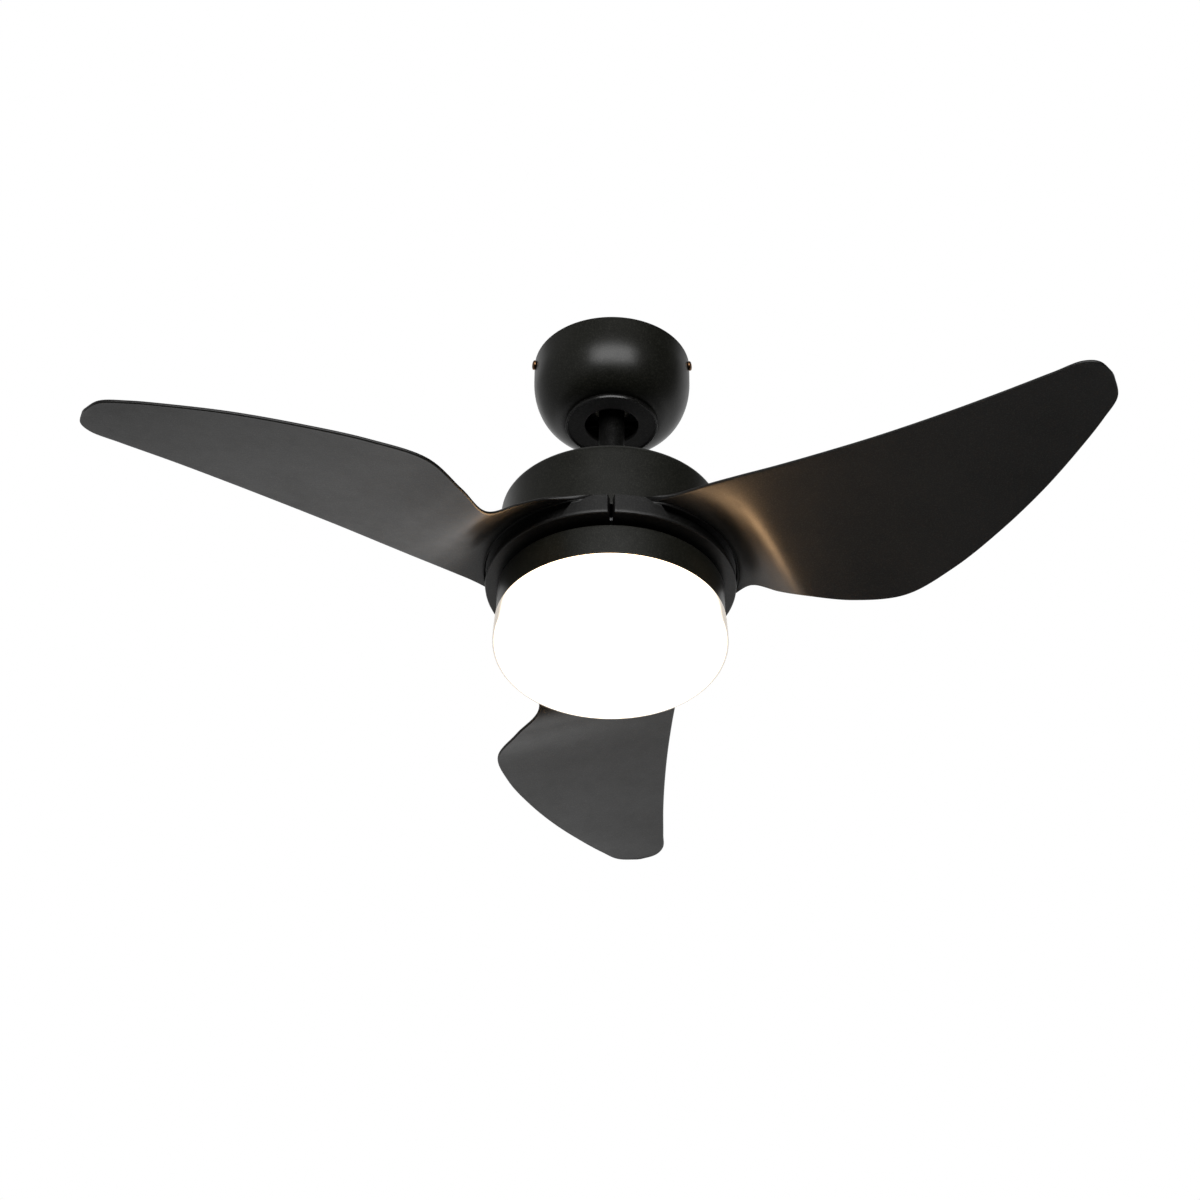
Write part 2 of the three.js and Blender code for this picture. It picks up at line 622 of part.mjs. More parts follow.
function bladeSheet() {
  const straight = edgeCurve(STRAIGHT_EDGE);
  const belly = edgeCurve(BELLY_EDGE);
  const pairs = STRAIGHT_EDGE.length - 1;
  const loops = [];
  const rootLoop = bladeSection(straight, belly, 0);
  loops.push(rootLoop.map((p) => {
    const shrink = 1 - ROOT_OVERLAP / Math.hypot(p.x, p.y);
    return new THREE.Vector3(p.x * shrink, p.y * shrink, p.z);
  }));
  const lastStep = pairs * SECTIONS_PER_PAIR - 1;
  for (let i = 0; i <= lastStep; i += 1) {
    loops.push(bladeSection(straight, belly, i / SECTIONS_PER_PAIR));
  }
  loops.push(bladeSection(straight, belly, pairs - TIP_SECTION));
  return skin(loops);
}

// A blade is one moulding: the sheet and its third of the hub ring, grooved under the blade's root.
function blade() {
  const { radius, low, high, inner, plate, wallInner } = HUB;
  const hubRing = turned([
    [inner, low], [radius - 1, low], [radius, low + 1], [radius, high], [wallInner, high],
    [wallInner, low + plate], [inner, low + plate],
  ]);
  const groove = overlapOf(
    ring(GROOVE.inner, radius + 5, GROOVE.low, GROOVE.high),
    wedge(GROOVE.start, GROOVE.end, GROOVE.low - 1, GROOVE.high + 1),
  );
  const third = overlapOf(cut(hubRing, groove), wedge(-60, 60, low - 1, high + 1));
  const seams = [-60, 60].map((angle) =>
    block([0, radius + 5], [-SEAM_GAP / 2, SEAM_GAP / 2], [low - 1, high + 1])
      .rotateZ(THREE.MathUtils.degToRad(angle)),
  );
  const screwHoles = holesAt(BLADE_SCREW_PLACES, BLADE_SCREW.hole, low - 1, low + plate + 1);
  return cut(join(third, bladeSheet()), ...seams, ...screwHoles);
}

// ---------------------------------------------------------------- light kit

function kitScrewHoles() {
  return holesAt(KIT_SCREW_PLACES, KIT_SCREW.hole, SUPPORT_BOTTOM - 1, KIT.top + 1);
}

// The parts of a turned ring that lie at the bayonet's three places.
function bayonetParts(ringGeometry, low, high) {
  return BAYONET.angles.map((angle) =>
    overlapOf(ringGeometry, wedge(angle - BAYONET.halfAngle, angle + BAYONET.halfAngle, low - 1, high + 1)),
  );
}

// Cup that holds the lamp, with three inward tabs for the shade's bayonet lugs.
function lightKitHousing() {
  const { radius, wall, top, bottom } = KIT;
  const inner = radius - wall;
  const shaftHole = SHAFT.radius + 2;
  const edge = 0.6;
  const shell = turned([
    [shaftHole, top], [shaftHole, top - wall], [inner, top - wall], [inner, bottom + edge],
    [inner + edge / 2, bottom], [radius - edge, bottom], [radius, bottom + edge], [radius, top - edge],
    [radius - edge, top],
  ]);
  const { depth, low, high } = BAYONET_TAB;
  const tabRing = ring(inner - depth, inner + wall / 2, low, high);
  return cut(join(shell, ...bayonetParts(tabRing, low, high)), ...kitScrewHoles());
}

function supportPlate() {
  const plate = ring(SHAFT.radius + CLEARANCE, SUPPORT.radius, SUPPORT_BOTTOM, SUPPORT.top);
  return cut(plate, ...kitScrewHoles());
}

function ledDriver() {
  const { x, halfY, low, ribDepth, ribSpacing } = DRIVER;
  const box = block(x, [-halfY, halfY], [low, SUPPORT_BOTTOM - CLEARANCE]);
  const grooves = [-2, -1, 0, 1, 2].map((i) => {
    const y = i * ribSpacing;
    return block([x[0] + 5, x[1] - 4], [y - 1, y + 1], [low - 1, low + ribDepth]);
  });
  return cut(box, ...grooves);
}

// Heat plate: an aluminium disc on a short tube that stands off the support plate.
function heatPlate() {
  const { radius, inner, tube, top, bottom } = HEAT_PLATE;
  const tubeTop = SUPPORT_BOTTOM - CLEARANCE;
  return turned([
    [inner, tubeTop], [tube, tubeTop], [tube, top], [radius, top], [radius, bottom], [inner, bottom],
  ]);
}

function ledBoard() {
  const { inner, radius, top, bottom, emitterBottom } = LED_BOARD;
  const board = ring(inner, radius, bottom, top);
  const half = 2;
  const emitters = LED_RINGS.flatMap((row) => {
    const places = [];
    for (let i = 0; i < row.count; i += 1) places.push(polar(row.radius, (360 / row.count) * i));
    return places.map(([x, y]) =>
      block([x - half, x + half], [y - half, y + half], [emitterBottom, bottom + 0.4]),
    );
  });
  return join(board, ...emitters);
}

// Bayonet ring fixed round the shade's neck; its lugs hook over the tabs of the light kit housing.
function shadeRing() {
  const { lugRadius, lugLow, lugHigh } = BAYONET;
  const band = ring(GLASS.neck + CLEARANCE, SHADE_BAND.outer, SHADE_BAND.low, lugHigh);
  const lugRing = ring(SHADE_BAND.outer - 0.4, lugRadius, lugLow, lugHigh);
  return join(band, ...bayonetParts(lugRing, lugLow, lugHigh));
}

function glassShade() {
  const { wall, neck, neckTop, ledge, radius, bottom } = GLASS;
  const corner = GLASS_CORNER.radius;
  const floor = GLASS_CORNER.z - corner;
  const outside = quarterCurve(radius, GLASS_CORNER.z, radius - corner, floor, 5);
  const inside = quarterCurve(radius - wall, GLASS_CORNER.z, radius - corner, floor + wall, 5);
  return turned([
    [0, bottom],
    [48, bottom + 0.7],
    ...outside.reverse(),
    [radius, GLASS_CORNER.z],
    [radius - 0.8, -337],
    [radius - 1.8, ledge - 1.6],
    [radius - 3.3, ledge],
    [neck, ledge],
    [neck, neckTop],
    [neck - wall, neckTop],
    [neck - wall, ledge - wall],
    [radius - 1.8 - wall, ledge - wall - 3],
    [radius - 0.8 - wall, -340],
    [radius - wall, GLASS_CORNER.z],
    ...inside,
    [48, bottom + 0.7 + wall],
    [0, bottom + wall],
  ]);
}

// ---------------------------------------------------------------- build the group

add("hanger_bracket", hangerBracket(), zinc);
add("canopy_cover", canopyCover(), satinBlack);
add("canopy_trim_ring", canopyTrimRing(), satinBlack);
CANOPY_SCREW.angles.forEach((angle, i) => {
  const turn = new THREE.Group();
  turn.rotation.z = THREE.MathUtils.degToRad(angle);
  fan.add(turn);
  const { head, headHeight, shank, length } = CANOPY_SCREW;
  const screw = add(`canopy_screw_${i + 1}`, screwGeometry(head, headHeight, shank, length), bronze, turn);
  screw.position.set(CANOPY.radius + CLEARANCE, 0, CANOPY_SCREW.z);
  screw.rotation.y = Math.PI / 2;
});
add("terminal_block", terminalBlock(), nylon);
add("receiver_box", receiverBox(), darkPlastic);
const groundScrew = add(
  "ground_screw",
  screwGeometry(GROUND_SCREW.head, GROUND_SCREW.headHeight, GROUND_SCREW.shank, GROUND_SCREW.length),
  greenPaint,
);
groundScrew.position.set(BRACKET_HOLES.groundX, 0, -PLATE - CLEARANCE);
groundScrew.rotation.x = Math.PI;

add("ball_pin", ballPin(), steel);
add("hanger_ball", hangerBall(), nylon);
add("downrod", downrod(), satinBlack);
add("motor_lead", motorLead(), darkPlastic);
add("motor_yoke", motorYoke(), castAluminium);
add("yoke_cover", yokeCover(), satinBlack);
const yokePin = rodAlongX(YOKE_PIN.radius, -YOKE_PIN.halfLength, YOKE_PIN.halfLength);
add("yoke_pin", yokePin, steel).position.z = YOKE_PIN.z;
[90, 270].forEach((angle, i) => {
  const seat = YOKE.collar + CLEARANCE;
  const shank = rodAlongX(YOKE_SCREW.radius, ROD.radius + CLEARANCE, seat);
  const head = rodAlongX(YOKE_SCREW.head, seat, seat + YOKE_SCREW.headHeight);
  const screw = add(`yoke_screw_${i + 1}`, join(shank, head), steel);
  screw.position.z = YOKE_SCREW.z;
  screw.rotation.z = THREE.MathUtils.degToRad(angle);
});
add("upper_housing", upperHousing(), satinBlack);
HOUSING_SCREW_PLACES.forEach(([x, y], i) => {
  const { head, shank, length } = HOUSING_SCREW;
  const screw = add(`housing_screw_${i + 1}`, screwGeometry(head, LOW_SCREW_HEAD, shank, length), steel);
  screw.position.set(x, y, HOUSING.top + CLEARANCE);
});

add("motor_shaft", motorShaft(), steel);
add("stator_core", statorCore(), laminate);
for (let i = 0; i < STATOR.slots; i += 1) {
  const coil = add(`stator_coil_${i + 1}`, statorCoil(), copper);
  coil.rotation.z = THREE.MathUtils.degToRad((360 / STATOR.slots) * i);
}
add("shaft_nut_upper", hexNut(...SHAFT_NUT.upper), steel);
add("shaft_nut_lower", hexNut(SHAFT_NUT.lowerBottom, SUPPORT_BOTTOM - CLEARANCE), steel);
add("support_plate", supportPlate(), zinc);
add("light_kit_housing", lightKitHousing(), satinBlack);
KIT_SCREW_PLACES.forEach(([x, y], i) => {
  const { head, shank, length } = KIT_SCREW;
  const screw = add(`kit_screw_${i + 1}`, screwGeometry(head, LOW_SCREW_HEAD, shank, length), steel);
  screw.position.set(x, y, SUPPORT_BOTTOM - CLEARANCE);
  screw.rotation.x = Math.PI;
});
add("led_driver", ledDriver(), whiteBoard);
add("heat_plate", heatPlate(), castAluminium);
add("led_board", ledBoard(), whiteBoard);

add("rotor_bell", rotorBell(), castAluminium);
add("rotor_carrier", rotorCarrier(), castAluminium);
add("magnet_ring", magnetRing(), ferrite);
const upperSeat = ROTOR.top - ROTOR.wall - CLEARANCE;
const lowerSeat = ROTOR.carrierBottom + BEARING_SEAT.floor + CLEARANCE;
add("bearing_upper", bearing(), zinc).position.z = upperSeat - BEARING.height;
add("bearing_lower", bearing(), zinc).position.z = lowerSeat;
BLADE_AZIMUTHS.forEach((azimuth, i) => {
  const arm = new THREE.Group();
  arm.rotation.z = THREE.MathUtils.degToRad(azimuth);
  arm.position.z = HUB.z;
  fan.add(arm);
  add(`blade_${i + 1}`, blade(), blackPlastic, arm);
  BLADE_SCREW_PLACES.forEach(([x, y], j) => {
    const { head, shank, length } = BLADE_SCREW;
    const geometry = screwGeometry(head, LOW_SCREW_HEAD, shank, length);
    const screw = add(`blade_${i + 1}_screw_${j + 1}`, geometry, steel, arm);
    screw.position.set(x, y, HUB.low - CLEARANCE);
    screw.rotation.x = Math.PI;
  });
});

add("shade_ring", shadeRing(), castAluminium);
add("glass_shade", glassShade(), opalGlass);

export default fan;
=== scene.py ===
import json
import math

import bmesh
import bpy
import numpy as np
from mathutils import Matrix, Vector

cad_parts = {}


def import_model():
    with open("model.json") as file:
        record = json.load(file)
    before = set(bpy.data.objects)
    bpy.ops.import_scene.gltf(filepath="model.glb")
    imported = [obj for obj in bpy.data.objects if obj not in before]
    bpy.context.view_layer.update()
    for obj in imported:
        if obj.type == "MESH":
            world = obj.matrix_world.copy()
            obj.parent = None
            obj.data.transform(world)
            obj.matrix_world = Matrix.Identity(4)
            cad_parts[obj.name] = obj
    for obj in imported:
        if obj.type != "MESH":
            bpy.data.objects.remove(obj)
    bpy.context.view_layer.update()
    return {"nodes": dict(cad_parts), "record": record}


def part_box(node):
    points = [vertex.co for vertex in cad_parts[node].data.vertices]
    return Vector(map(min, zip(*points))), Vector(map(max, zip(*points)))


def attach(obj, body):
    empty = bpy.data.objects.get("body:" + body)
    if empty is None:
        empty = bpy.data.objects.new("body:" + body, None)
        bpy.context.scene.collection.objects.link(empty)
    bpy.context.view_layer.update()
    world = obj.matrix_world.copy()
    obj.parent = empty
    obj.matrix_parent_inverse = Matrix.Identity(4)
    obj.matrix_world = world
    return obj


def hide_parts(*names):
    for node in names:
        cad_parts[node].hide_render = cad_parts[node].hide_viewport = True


# Looks of the ceiling fan with light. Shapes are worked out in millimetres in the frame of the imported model
# (origin on the ceiling plane, +Z up, front -Y) and are scaled to metres when a mesh is made.

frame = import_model()

MM = 0.001
RECORD = frame["record"]
SLOT_OF = {part["node"]: part["material_slot"] for part in RECORD["subparts"]}
BODY_OF = {node: body for body, nodes in RECORD["behaviour"]["bodies"].items() for node in nodes}

TURN_STEPS = 192  # facets round a large turned piece
SMALL_TURN_STEPS = 48


def span(node):
    """A CAD node's lowest and highest corner in millimetres."""
    low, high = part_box(node)
    return low / MM, high / MM


# ---------------------------------------------------------------- materials


class Shader:
    """A node material with the few building blocks that the finishes below share."""

    def __init__(self, name):
        self.material = bpy.data.materials.new(name)
        self.material.use_nodes = True
        self.tree = self.material.node_tree
        self.bsdf = self.tree.nodes["Principled BSDF"]
        self.place = self.node("ShaderNodeTexCoord").outputs["Object"]

    def node(self, kind, **settings):
        made = self.tree.nodes.new(kind)
        for name, value in settings.items():
            setattr(made, name, value)
        return made

    def plug(self, value, socket):
        if isinstance(value, bpy.types.NodeSocket):
            self.tree.links.new(value, socket)
        else:
            socket.default_value = value

    def fixed(self, **values):
        for name, value in values.items():
            self.bsdf.inputs[name.replace("_", " ")].default_value = value

    def noise(self, scale, detail=2.0, roughness=0.5):
        made = self.node("ShaderNodeTexNoise")
        self.plug(self.place, made.inputs["Vector"])
        made.inputs["Scale"].default_value = scale
        made.inputs["Detail"].default_value = detail
        made.inputs["Roughness"].default_value = roughness
        return made.outputs["Fac"]

    def cells(self, scale):
        """Cells that each have a random colour."""
        made = self.node("ShaderNodeTexVoronoi")
        self.plug(self.place, made.inputs["Vector"])
        made.inputs["Scale"].default_value = scale
        return made.outputs["Color"]

    def axis(self, name):
        made = self.node("ShaderNodeSeparateXYZ")
        self.plug(self.place, made.inputs["Vector"])
        return made.outputs[name]

    def radius(self):
        """Distance from the Z axis, in metres."""
        flat = self.node("ShaderNodeVectorMath", operation="MULTIPLY")
        self.plug(self.place, flat.inputs[0])
        flat.inputs[1].default_value = (1, 1, 0)
        made = self.node("ShaderNodeVectorMath", operation="LENGTH")
        self.plug(flat.outputs["Vector"], made.inputs[0])
        return made.outputs["Value"]

    def math(self, operation, a, b=0.0):
        made = self.node("ShaderNodeMath", operation=operation)
        self.plug(a, made.inputs[0])
        self.plug(b, made.inputs[1])
        return made.outputs["Value"]

    def lines(self, distance, pitch):
        """A wave from 0 to 1 that repeats every pitch metres of a distance."""
        turns = self.math("MULTIPLY", distance, 2 * math.pi / pitch)
        wave = self.math("SINE", turns)
        return self.remap(wave, -1, 1, 0, 1)

    def remap(self, value, low, high, new_low, new_high):
        made = self.node("ShaderNodeMapRange")
        self.plug(value, made.inputs["Value"])
        limits = {"From Min": low, "From Max": high, "To Min": new_low, "To Max": new_high}
        for socket, number in limits.items():
            made.inputs[socket].default_value = number
        return made.outputs["Result"]

    def blend(self, amount, first, second):
        made = self.node("ShaderNodeMix", data_type="RGBA")
        self.plug(amount, made.inputs["Factor"])
        colours = [socket for socket in made.inputs if socket.type == "RGBA"]
        for socket, colour in zip(colours, (first, second)):
            self.plug(colour if isinstance(colour, bpy.types.NodeSocket) else (*colour, 1.0), socket)
        return next(socket for socket in made.outputs if socket.type == "RGBA")

    def colour(self, source):
        self.plug(source, self.bsdf.inputs["Base Color"])

    def roughness(self, source):
        self.plug(source, self.bsdf.inputs["Roughness"])

    def relief(self, *layers):
        """Bump layers, each a height from 0 to 1 with its depth in millimetres."""
        normal = None
        for height, depth in layers:
            made = self.node("ShaderNodeBump")
            made.inputs["Strength"].default_value = 1.0
            made.inputs["Distance"].default_value = depth * MM
            self.plug(height, made.inputs["Height"])
            if normal is not None:
                self.plug(normal, made.inputs["Normal"])
            normal = made.outputs["Normal"]
        self.plug(normal, self.bsdf.inputs["Normal"])


def coated(name, dark, light, rough, grain, grain_depth, specular=0.5, polished_from=None):
    """Paint or moulded plastic: fine grain, faint cloudiness in colour and gloss, a little settled dust.

    A turned part may be matt inside a radius and polished from there out.
    """
    shader = Shader(name)
    cloud = shader.noise(14, 3)
    fine = shader.noise(grain, 2, 0.6)
    base = shader.blend(shader.remap(cloud, 0.35, 0.65, 0, 1), dark, light)
    dust = shader.remap(shader.noise(620, 1), 0.76, 0.82, 0, 0.35)
    speckle = shader.remap(shader.noise(grain * 0.8, 1), 0.46, 0.72, 0, 1)
    grained = shader.blend(speckle, base, tuple(2.0 * value + 0.009 for value in light))
    shader.colour(shader.blend(dust, grained, (0.12, 0.115, 0.11)))
    streaks = shader.noise(70, 4, 0.65)
    mixed = shader.math("ADD", shader.math("MULTIPLY", cloud, 0.5), shader.math("MULTIPLY", streaks, 0.5))
    roughness = shader.remap(mixed, 0.35, 0.65, rough - 0.035, rough + 0.035)
    if polished_from:
        matt = shader.remap(shader.radius(), polished_from - 0.3 * MM, polished_from, 0.5, 0)
        roughness = shader.math("ADD", roughness, matt)
    shader.roughness(roughness)
    shader.relief((shader.noise(420, 1), grain_depth * 0.8), (fine, grain_depth))
    shader.fixed(IOR=1.45, Specular_IOR_Level=specular)
    return shader.material


def bare(name, rough, cloud_scale=60, metallic=1.0):
    """Uncoated stuff with cloudy gloss. Its colour and its relief are still to be set."""
    shader = Shader(name)
    shader.roughness(shader.remap(shader.noise(cloud_scale * 3, 3), 0.3, 0.7, rough - 0.08, rough + 0.08))
    shader.fixed(Metallic=metallic)
    return shader


def clouded(name, dark, light, rough, cloud_scale=60, grain=900, grain_depth=0.004, metallic=1.0):
    """Bare metal, or with metallic 0 plain moulded stuff, clouded between two colours and finely grained."""
    shader = bare(name, rough, cloud_scale, metallic)
    cloud = shader.remap(shader.noise(cloud_scale, 4, 0.6), 0.3, 0.7, 0, 1)
    shader.colour(shader.blend(cloud, dark, light))
    shader.relief((shader.noise(grain, 2), grain_depth))
    return shader.material


def zinc_steel():
    shader = bare("zinc_steel", 0.34)
    spangle = shader.node("ShaderNodeRGBToBW")
    shader.plug(shader.cells(130), spangle.inputs["Color"])
    shader.colour(shader.blend(spangle.outputs["Val"], (0.47, 0.48, 0.51), (0.68, 0.69, 0.71)))
    shader.relief((shader.noise(900, 2), 0.004))
    return shader.material


def plain_steel():
    """Turned steel, with the lathe's fine rings."""
    shader = bare("plain_steel", 0.32)
    cloud = shader.remap(shader.noise(60, 4, 0.6), 0.3, 0.7, 0, 1)
    shader.colour(shader.blend(cloud, (0.36, 0.37, 0.39), (0.48, 0.49, 0.51)))
    rings = shader.lines(shader.axis("Z"), 0.35 * MM)
    shader.relief((rings, 0.006), (shader.noise(900, 2), 0.003))
    return shader.material


def laminated_steel():
    """Stacked steel sheets of half a millimetre."""
    shader = bare("laminated_steel", 0.5)
    sheets = shader.lines(shader.axis("Z"), 0.5 * MM)
    shader.colour(shader.blend(sheets, (0.10, 0.10, 0.11), (0.27, 0.28, 0.30)))
    shader.relief((sheets, 0.06))
    return shader.material


def copper_wire():
    """Wound wire of 0.7 mm."""
    shader = bare("copper_wire", 0.3)
    wires = shader.lines(shader.radius(), 0.7 * MM)
    # Each turn is painted lighter on its crown and darker where it meets the next: painted highlight and
    # painted shade, on top of the bumps of the turns.
    shader.colour(shader.blend(wires, (0.25, 0.08, 0.03), (0.68, 0.30, 0.14)))
    shader.relief((wires, 0.16))
    return shader.material


def white_board():
    """White board; what stands below its face is the yellow phosphor of the emitters."""
    shader = bare("white_board", 0.45, 40, 0.0)
    board_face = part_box("led_board")[0].z + 0.7 * MM
    phosphor = shader.remap(shader.axis("Z"), board_face - 0.2 * MM, board_face, 1, 0)
    mottled = shader.blend(shader.noise(80, 3), (0.79, 0.79, 0.76), (0.88, 0.88, 0.86))
    shader.colour(shader.blend(phosphor, mottled, (0.85, 0.62, 0.10)))
    shader.relief((shader.noise(900, 2), 0.006))
    return shader.material


GLOW = (1.0, 0.60, 0.29)  # warm lamp light
GLOW_STRENGTH = 24.0
NECK_STRENGTH = 7.0  # close to the housing
FAINTEST = 0.26  # what is left of the glow where the glass turns away
LIMB = (1.0, 0.82, 0.62)  # the paler colour of the glow there


def opal_glass():
    """White opal glass, lit from inside. The glow is dimmer at the neck and where the glass turns away."""
    shader = Shader("opal_glass")
    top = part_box("glass_shade")[1].z
    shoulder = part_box("light_kit_housing")[0].z
    height = shader.axis("Z")
    drum = shader.remap(height, shoulder - 14 * MM, shoulder, GLOW_STRENGTH, NECK_STRENGTH)
    rim = shader.remap(height, top - 11.5 * MM, top - 9.0 * MM, 1, 0.03)
    cloud = shader.remap(shader.noise(26, 2), 0.3, 0.7, 0.97, 1.0)
    turned_away = shader.node("ShaderNodeLayerWeight").outputs["Facing"]
    facing = shader.remap(turned_away, 0.46, 0.82, 1, 0)
    limb = shader.math("POWER", facing, 2.0)
    glow = shader.math("MULTIPLY", shader.math("MULTIPLY", drum, cloud), shader.math("MULTIPLY", rim, limb))
    shader.plug(shader.math("ADD", glow, FAINTEST), shader.bsdf.inputs["Emission Strength"])
    warmth = shader.remap(facing, 0.3, 0.8, 0, 1)
    shader.plug(shader.blend(warmth, LIMB, GLOW), shader.bsdf.inputs["Emission Color"])
    shader.colour(shader.blend(shader.noise(40, 2), (0.86, 0.84, 0.80), (0.92, 0.90, 0.86)))
    shader.roughness(shader.remap(shader.noise(90, 3), 0.3, 0.7, 0.22, 0.3))
    shader.relief((shader.noise(60, 1), 0.01))
    shader.fixed(IOR=1.5)
    return shader.material


BLACK_PLASTIC = (0.0026, 0.0025, 0.0023), (0.0044, 0.0042, 0.0038)
TRIM_RIM = 2 * MM  # width of the trim ring's polished rim

FINISHES = {
    "satin_black_paint": coated(
        "satin_black_paint", (0.0045, 0.0046, 0.0028), (0.0068, 0.0069, 0.0046), 0.34, 1100, 0.03
    ),
    "black_plastic": coated("black_plastic", *BLACK_PLASTIC, 0.41, 1000, 0.045),
    "dark_plastic": coated(
        "dark_plastic", (0.0080, 0.0080, 0.0080), (0.0130, 0.0130, 0.0130), 0.55, 1200, 0.03, 0.4
    ),
    "bronze": clouded("bronze", (0.10, 0.05, 0.025), (0.30, 0.165, 0.08), 0.33, 260, 1400, 0.006),
    "zinc_steel": zinc_steel(),
    "plain_steel": plain_steel(),
    "cast_aluminium": clouded("cast_aluminium", (0.22, 0.22, 0.23), (0.32, 0.33, 0.33), 0.6, 35, 520, 0.03),
    "laminated_steel": laminated_steel(),
    "copper_wire": copper_wire(),
    "ferrite": clouded("ferrite", (0.035, 0.035, 0.04), (0.07, 0.07, 0.075), 0.65, 90, 800, 0.02, 0.0),
    "nylon": clouded("nylon", (0.70, 0.67, 0.59), (0.80, 0.77, 0.70), 0.45, 50, 700, 0.012, 0.0),
    "opal_glass": opal_glass(),
    "white_board": white_board(),
    "green_paint": clouded("green_paint", (0.03, 0.20, 0.06), (0.06, 0.30, 0.10), 0.4, 300, 1500, 0.01, 0.0),
    "matt_black_plastic": coated(
        "matt_black_plastic", *BLACK_PLASTIC, 0.28, 1000, 0.045,
        polished_from=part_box("canopy_trim_ring")[1].x - TRIM_RIM
    ),
    # Darker and less glossy than the other black finishes: painted shade on the downrod, which hangs in the
    # canopy's shade.
    "black_tube_painted_shade": coated(
        "black_tube_painted_shade", (0.0020, 0.0020, 0.0018), (0.0034, 0.0034, 0.0030), 0.40, 1100, 0.03, 0.2
    ),
}
# Two pieces differ a little from the other pieces of their slot. The downrod's copy is darker and less
# glossy: painted shade, for the canopy's shade on the rod.
OWN_FINISH = {"canopy_trim_ring": "matt_black_plastic", "downrod": "black_tube_painted_shade"}

for node_name, node_object in frame["nodes"].items():
    node_object.data.materials.clear()
    node_object.data.materials.append(FINISHES[SLOT_OF[node_name]])

# ---------------------------------------------------------------- mesh helpers

SHARP_ANGLE = math.radians(38)


def mesh_of(points, faces):
    """A smooth-shaded mesh in metres from points in millimetres, with its faces turned outwards."""
    mesh = bpy.data.meshes.new("shape")
    mesh.from_pydata((np.asarray(points, float) * MM).tolist(), [], faces)
    shape = bmesh.new()
    shape.from_mesh(mesh)
    bmesh.ops.recalc_face_normals(shape, faces=shape.faces)
    smooth_into(shape, mesh)
    return mesh


def smooth_into(shape, mesh):
    """Writes a bmesh into a mesh, smooth but for its sharp edges."""
    for face in shape.faces:
        face.smooth = True
    for edge in shape.edges:
        edge.smooth = edge.calc_face_angle(0) < SHARP_ANGLE
    shape.to_mesh(mesh)
    shape.free()


def even_shading(piece):
    """Large flat faces keep flat shading next to their small rounded edges."""
    weighted = piece.modifiers.new("even_shading", "WEIGHTED_NORMAL")
    weighted.keep_sharp = True


def show(name, mesh, *nodes):
    """Puts a mesh in the scene as the piece that stands for CAD nodes, with their body and finish."""
    piece = bpy.data.objects.new(f"{name}_shape", mesh)
    bpy.context.scene.collection.objects.link(piece)
    mesh.materials.clear()
    mesh.materials.append(FINISHES[OWN_FINISH.get(nodes[0], SLOT_OF[nodes[0]])])
    even_shading(piece)
    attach(piece, BODY_OF[nodes[0]])
    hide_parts(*nodes)
    return piece


def rounded(corners, arc_steps=5):
    """A closed profile whose corners (r, z, fillet) are rounded by their fillets."""
    places = [np.array(corner[:2], float) for corner in corners]
    fillets = [corner[2] if len(corner) > 2 else 0 for corner in corners]
    points = []
    for i, (here, fillet) in enumerate(zip(places, fillets)):
        if not fillet:
            points.append(here)
            continue
        before = places[i - 1] - here
        after = places[(i + 1) % len(places)] - here
        room = 0.49 * min(np.linalg.norm(before), np.linalg.norm(after))
        before /= np.linalg.norm(before)
        after /= np.linalg.norm(after)
        half = math.acos(np.clip(before @ after, -1, 1)) / 2
        reach = min(fillet / math.tan(half), room)
        middle = before + after
        centre = here + middle / np.linalg.norm(middle) * reach / math.cos(half)
        start, end = here + before * reach - centre, here + after * reach - centre
        for k in range(arc_steps + 1):
            share = k / arc_steps
            spoke = start * (1 - share) + end * share
            points.append(centre + spoke / np.linalg.norm(spoke) * np.linalg.norm(start))
    return points


def turned(profile, steps=TURN_STEPS):
    """Points and faces of a profile turned about Z. A profile on the axis at both ends is closed there."""
    profile = [tuple(p) for p in profile]
    on_axis = profile[0][0] == 0 and profile[-1][0] == 0
    body = profile[1:-1] if on_axis else profile
    angles = np.arange(steps) * 2 * math.pi / steps
    points = [(r * math.cos(a), r * math.sin(a), z) for r, z in body for a in angles]
    faces = []
    rows = len(body)
    for j in range(rows - 1 if on_axis else rows):
        first, second = j * steps, (j + 1) % rows * steps
        for i in range(steps):
            k = (i + 1) % steps
            faces.append((first + i, first + k, second + k, second + i))
    if on_axis:
        for (_, z), row in ((profile[0], 0), (profile[-1], rows - 1)):
            pole = len(points)
            points.append((0, 0, z))
            faces += [(row * steps + i, row * steps + (i + 1) % steps, pole) for i in range(steps)]
    return points, faces


def turned_piece(node, profile, steps=TURN_STEPS):
    show(node, mesh_of(*turned(profile, steps)), node)


def quarter(r0, z0, r1, z1, steps, exponent=2.0):
    """Quarter curve from (r0, z0), where it is upright, to (r1, z1), where it is level."""
    points = []
    for i in range(1, steps + 1):
        angle = math.pi / 2 * i / steps
        across = 0 if i == steps else math.cos(angle) ** (2 / exponent)
        points.append((r1 + (r0 - r1) * across, z0 + (z1 - z0) * math.sin(angle) ** (2 / exponent)))
    return points


# ---------------------------------------------------------------- canopy, rod and housings


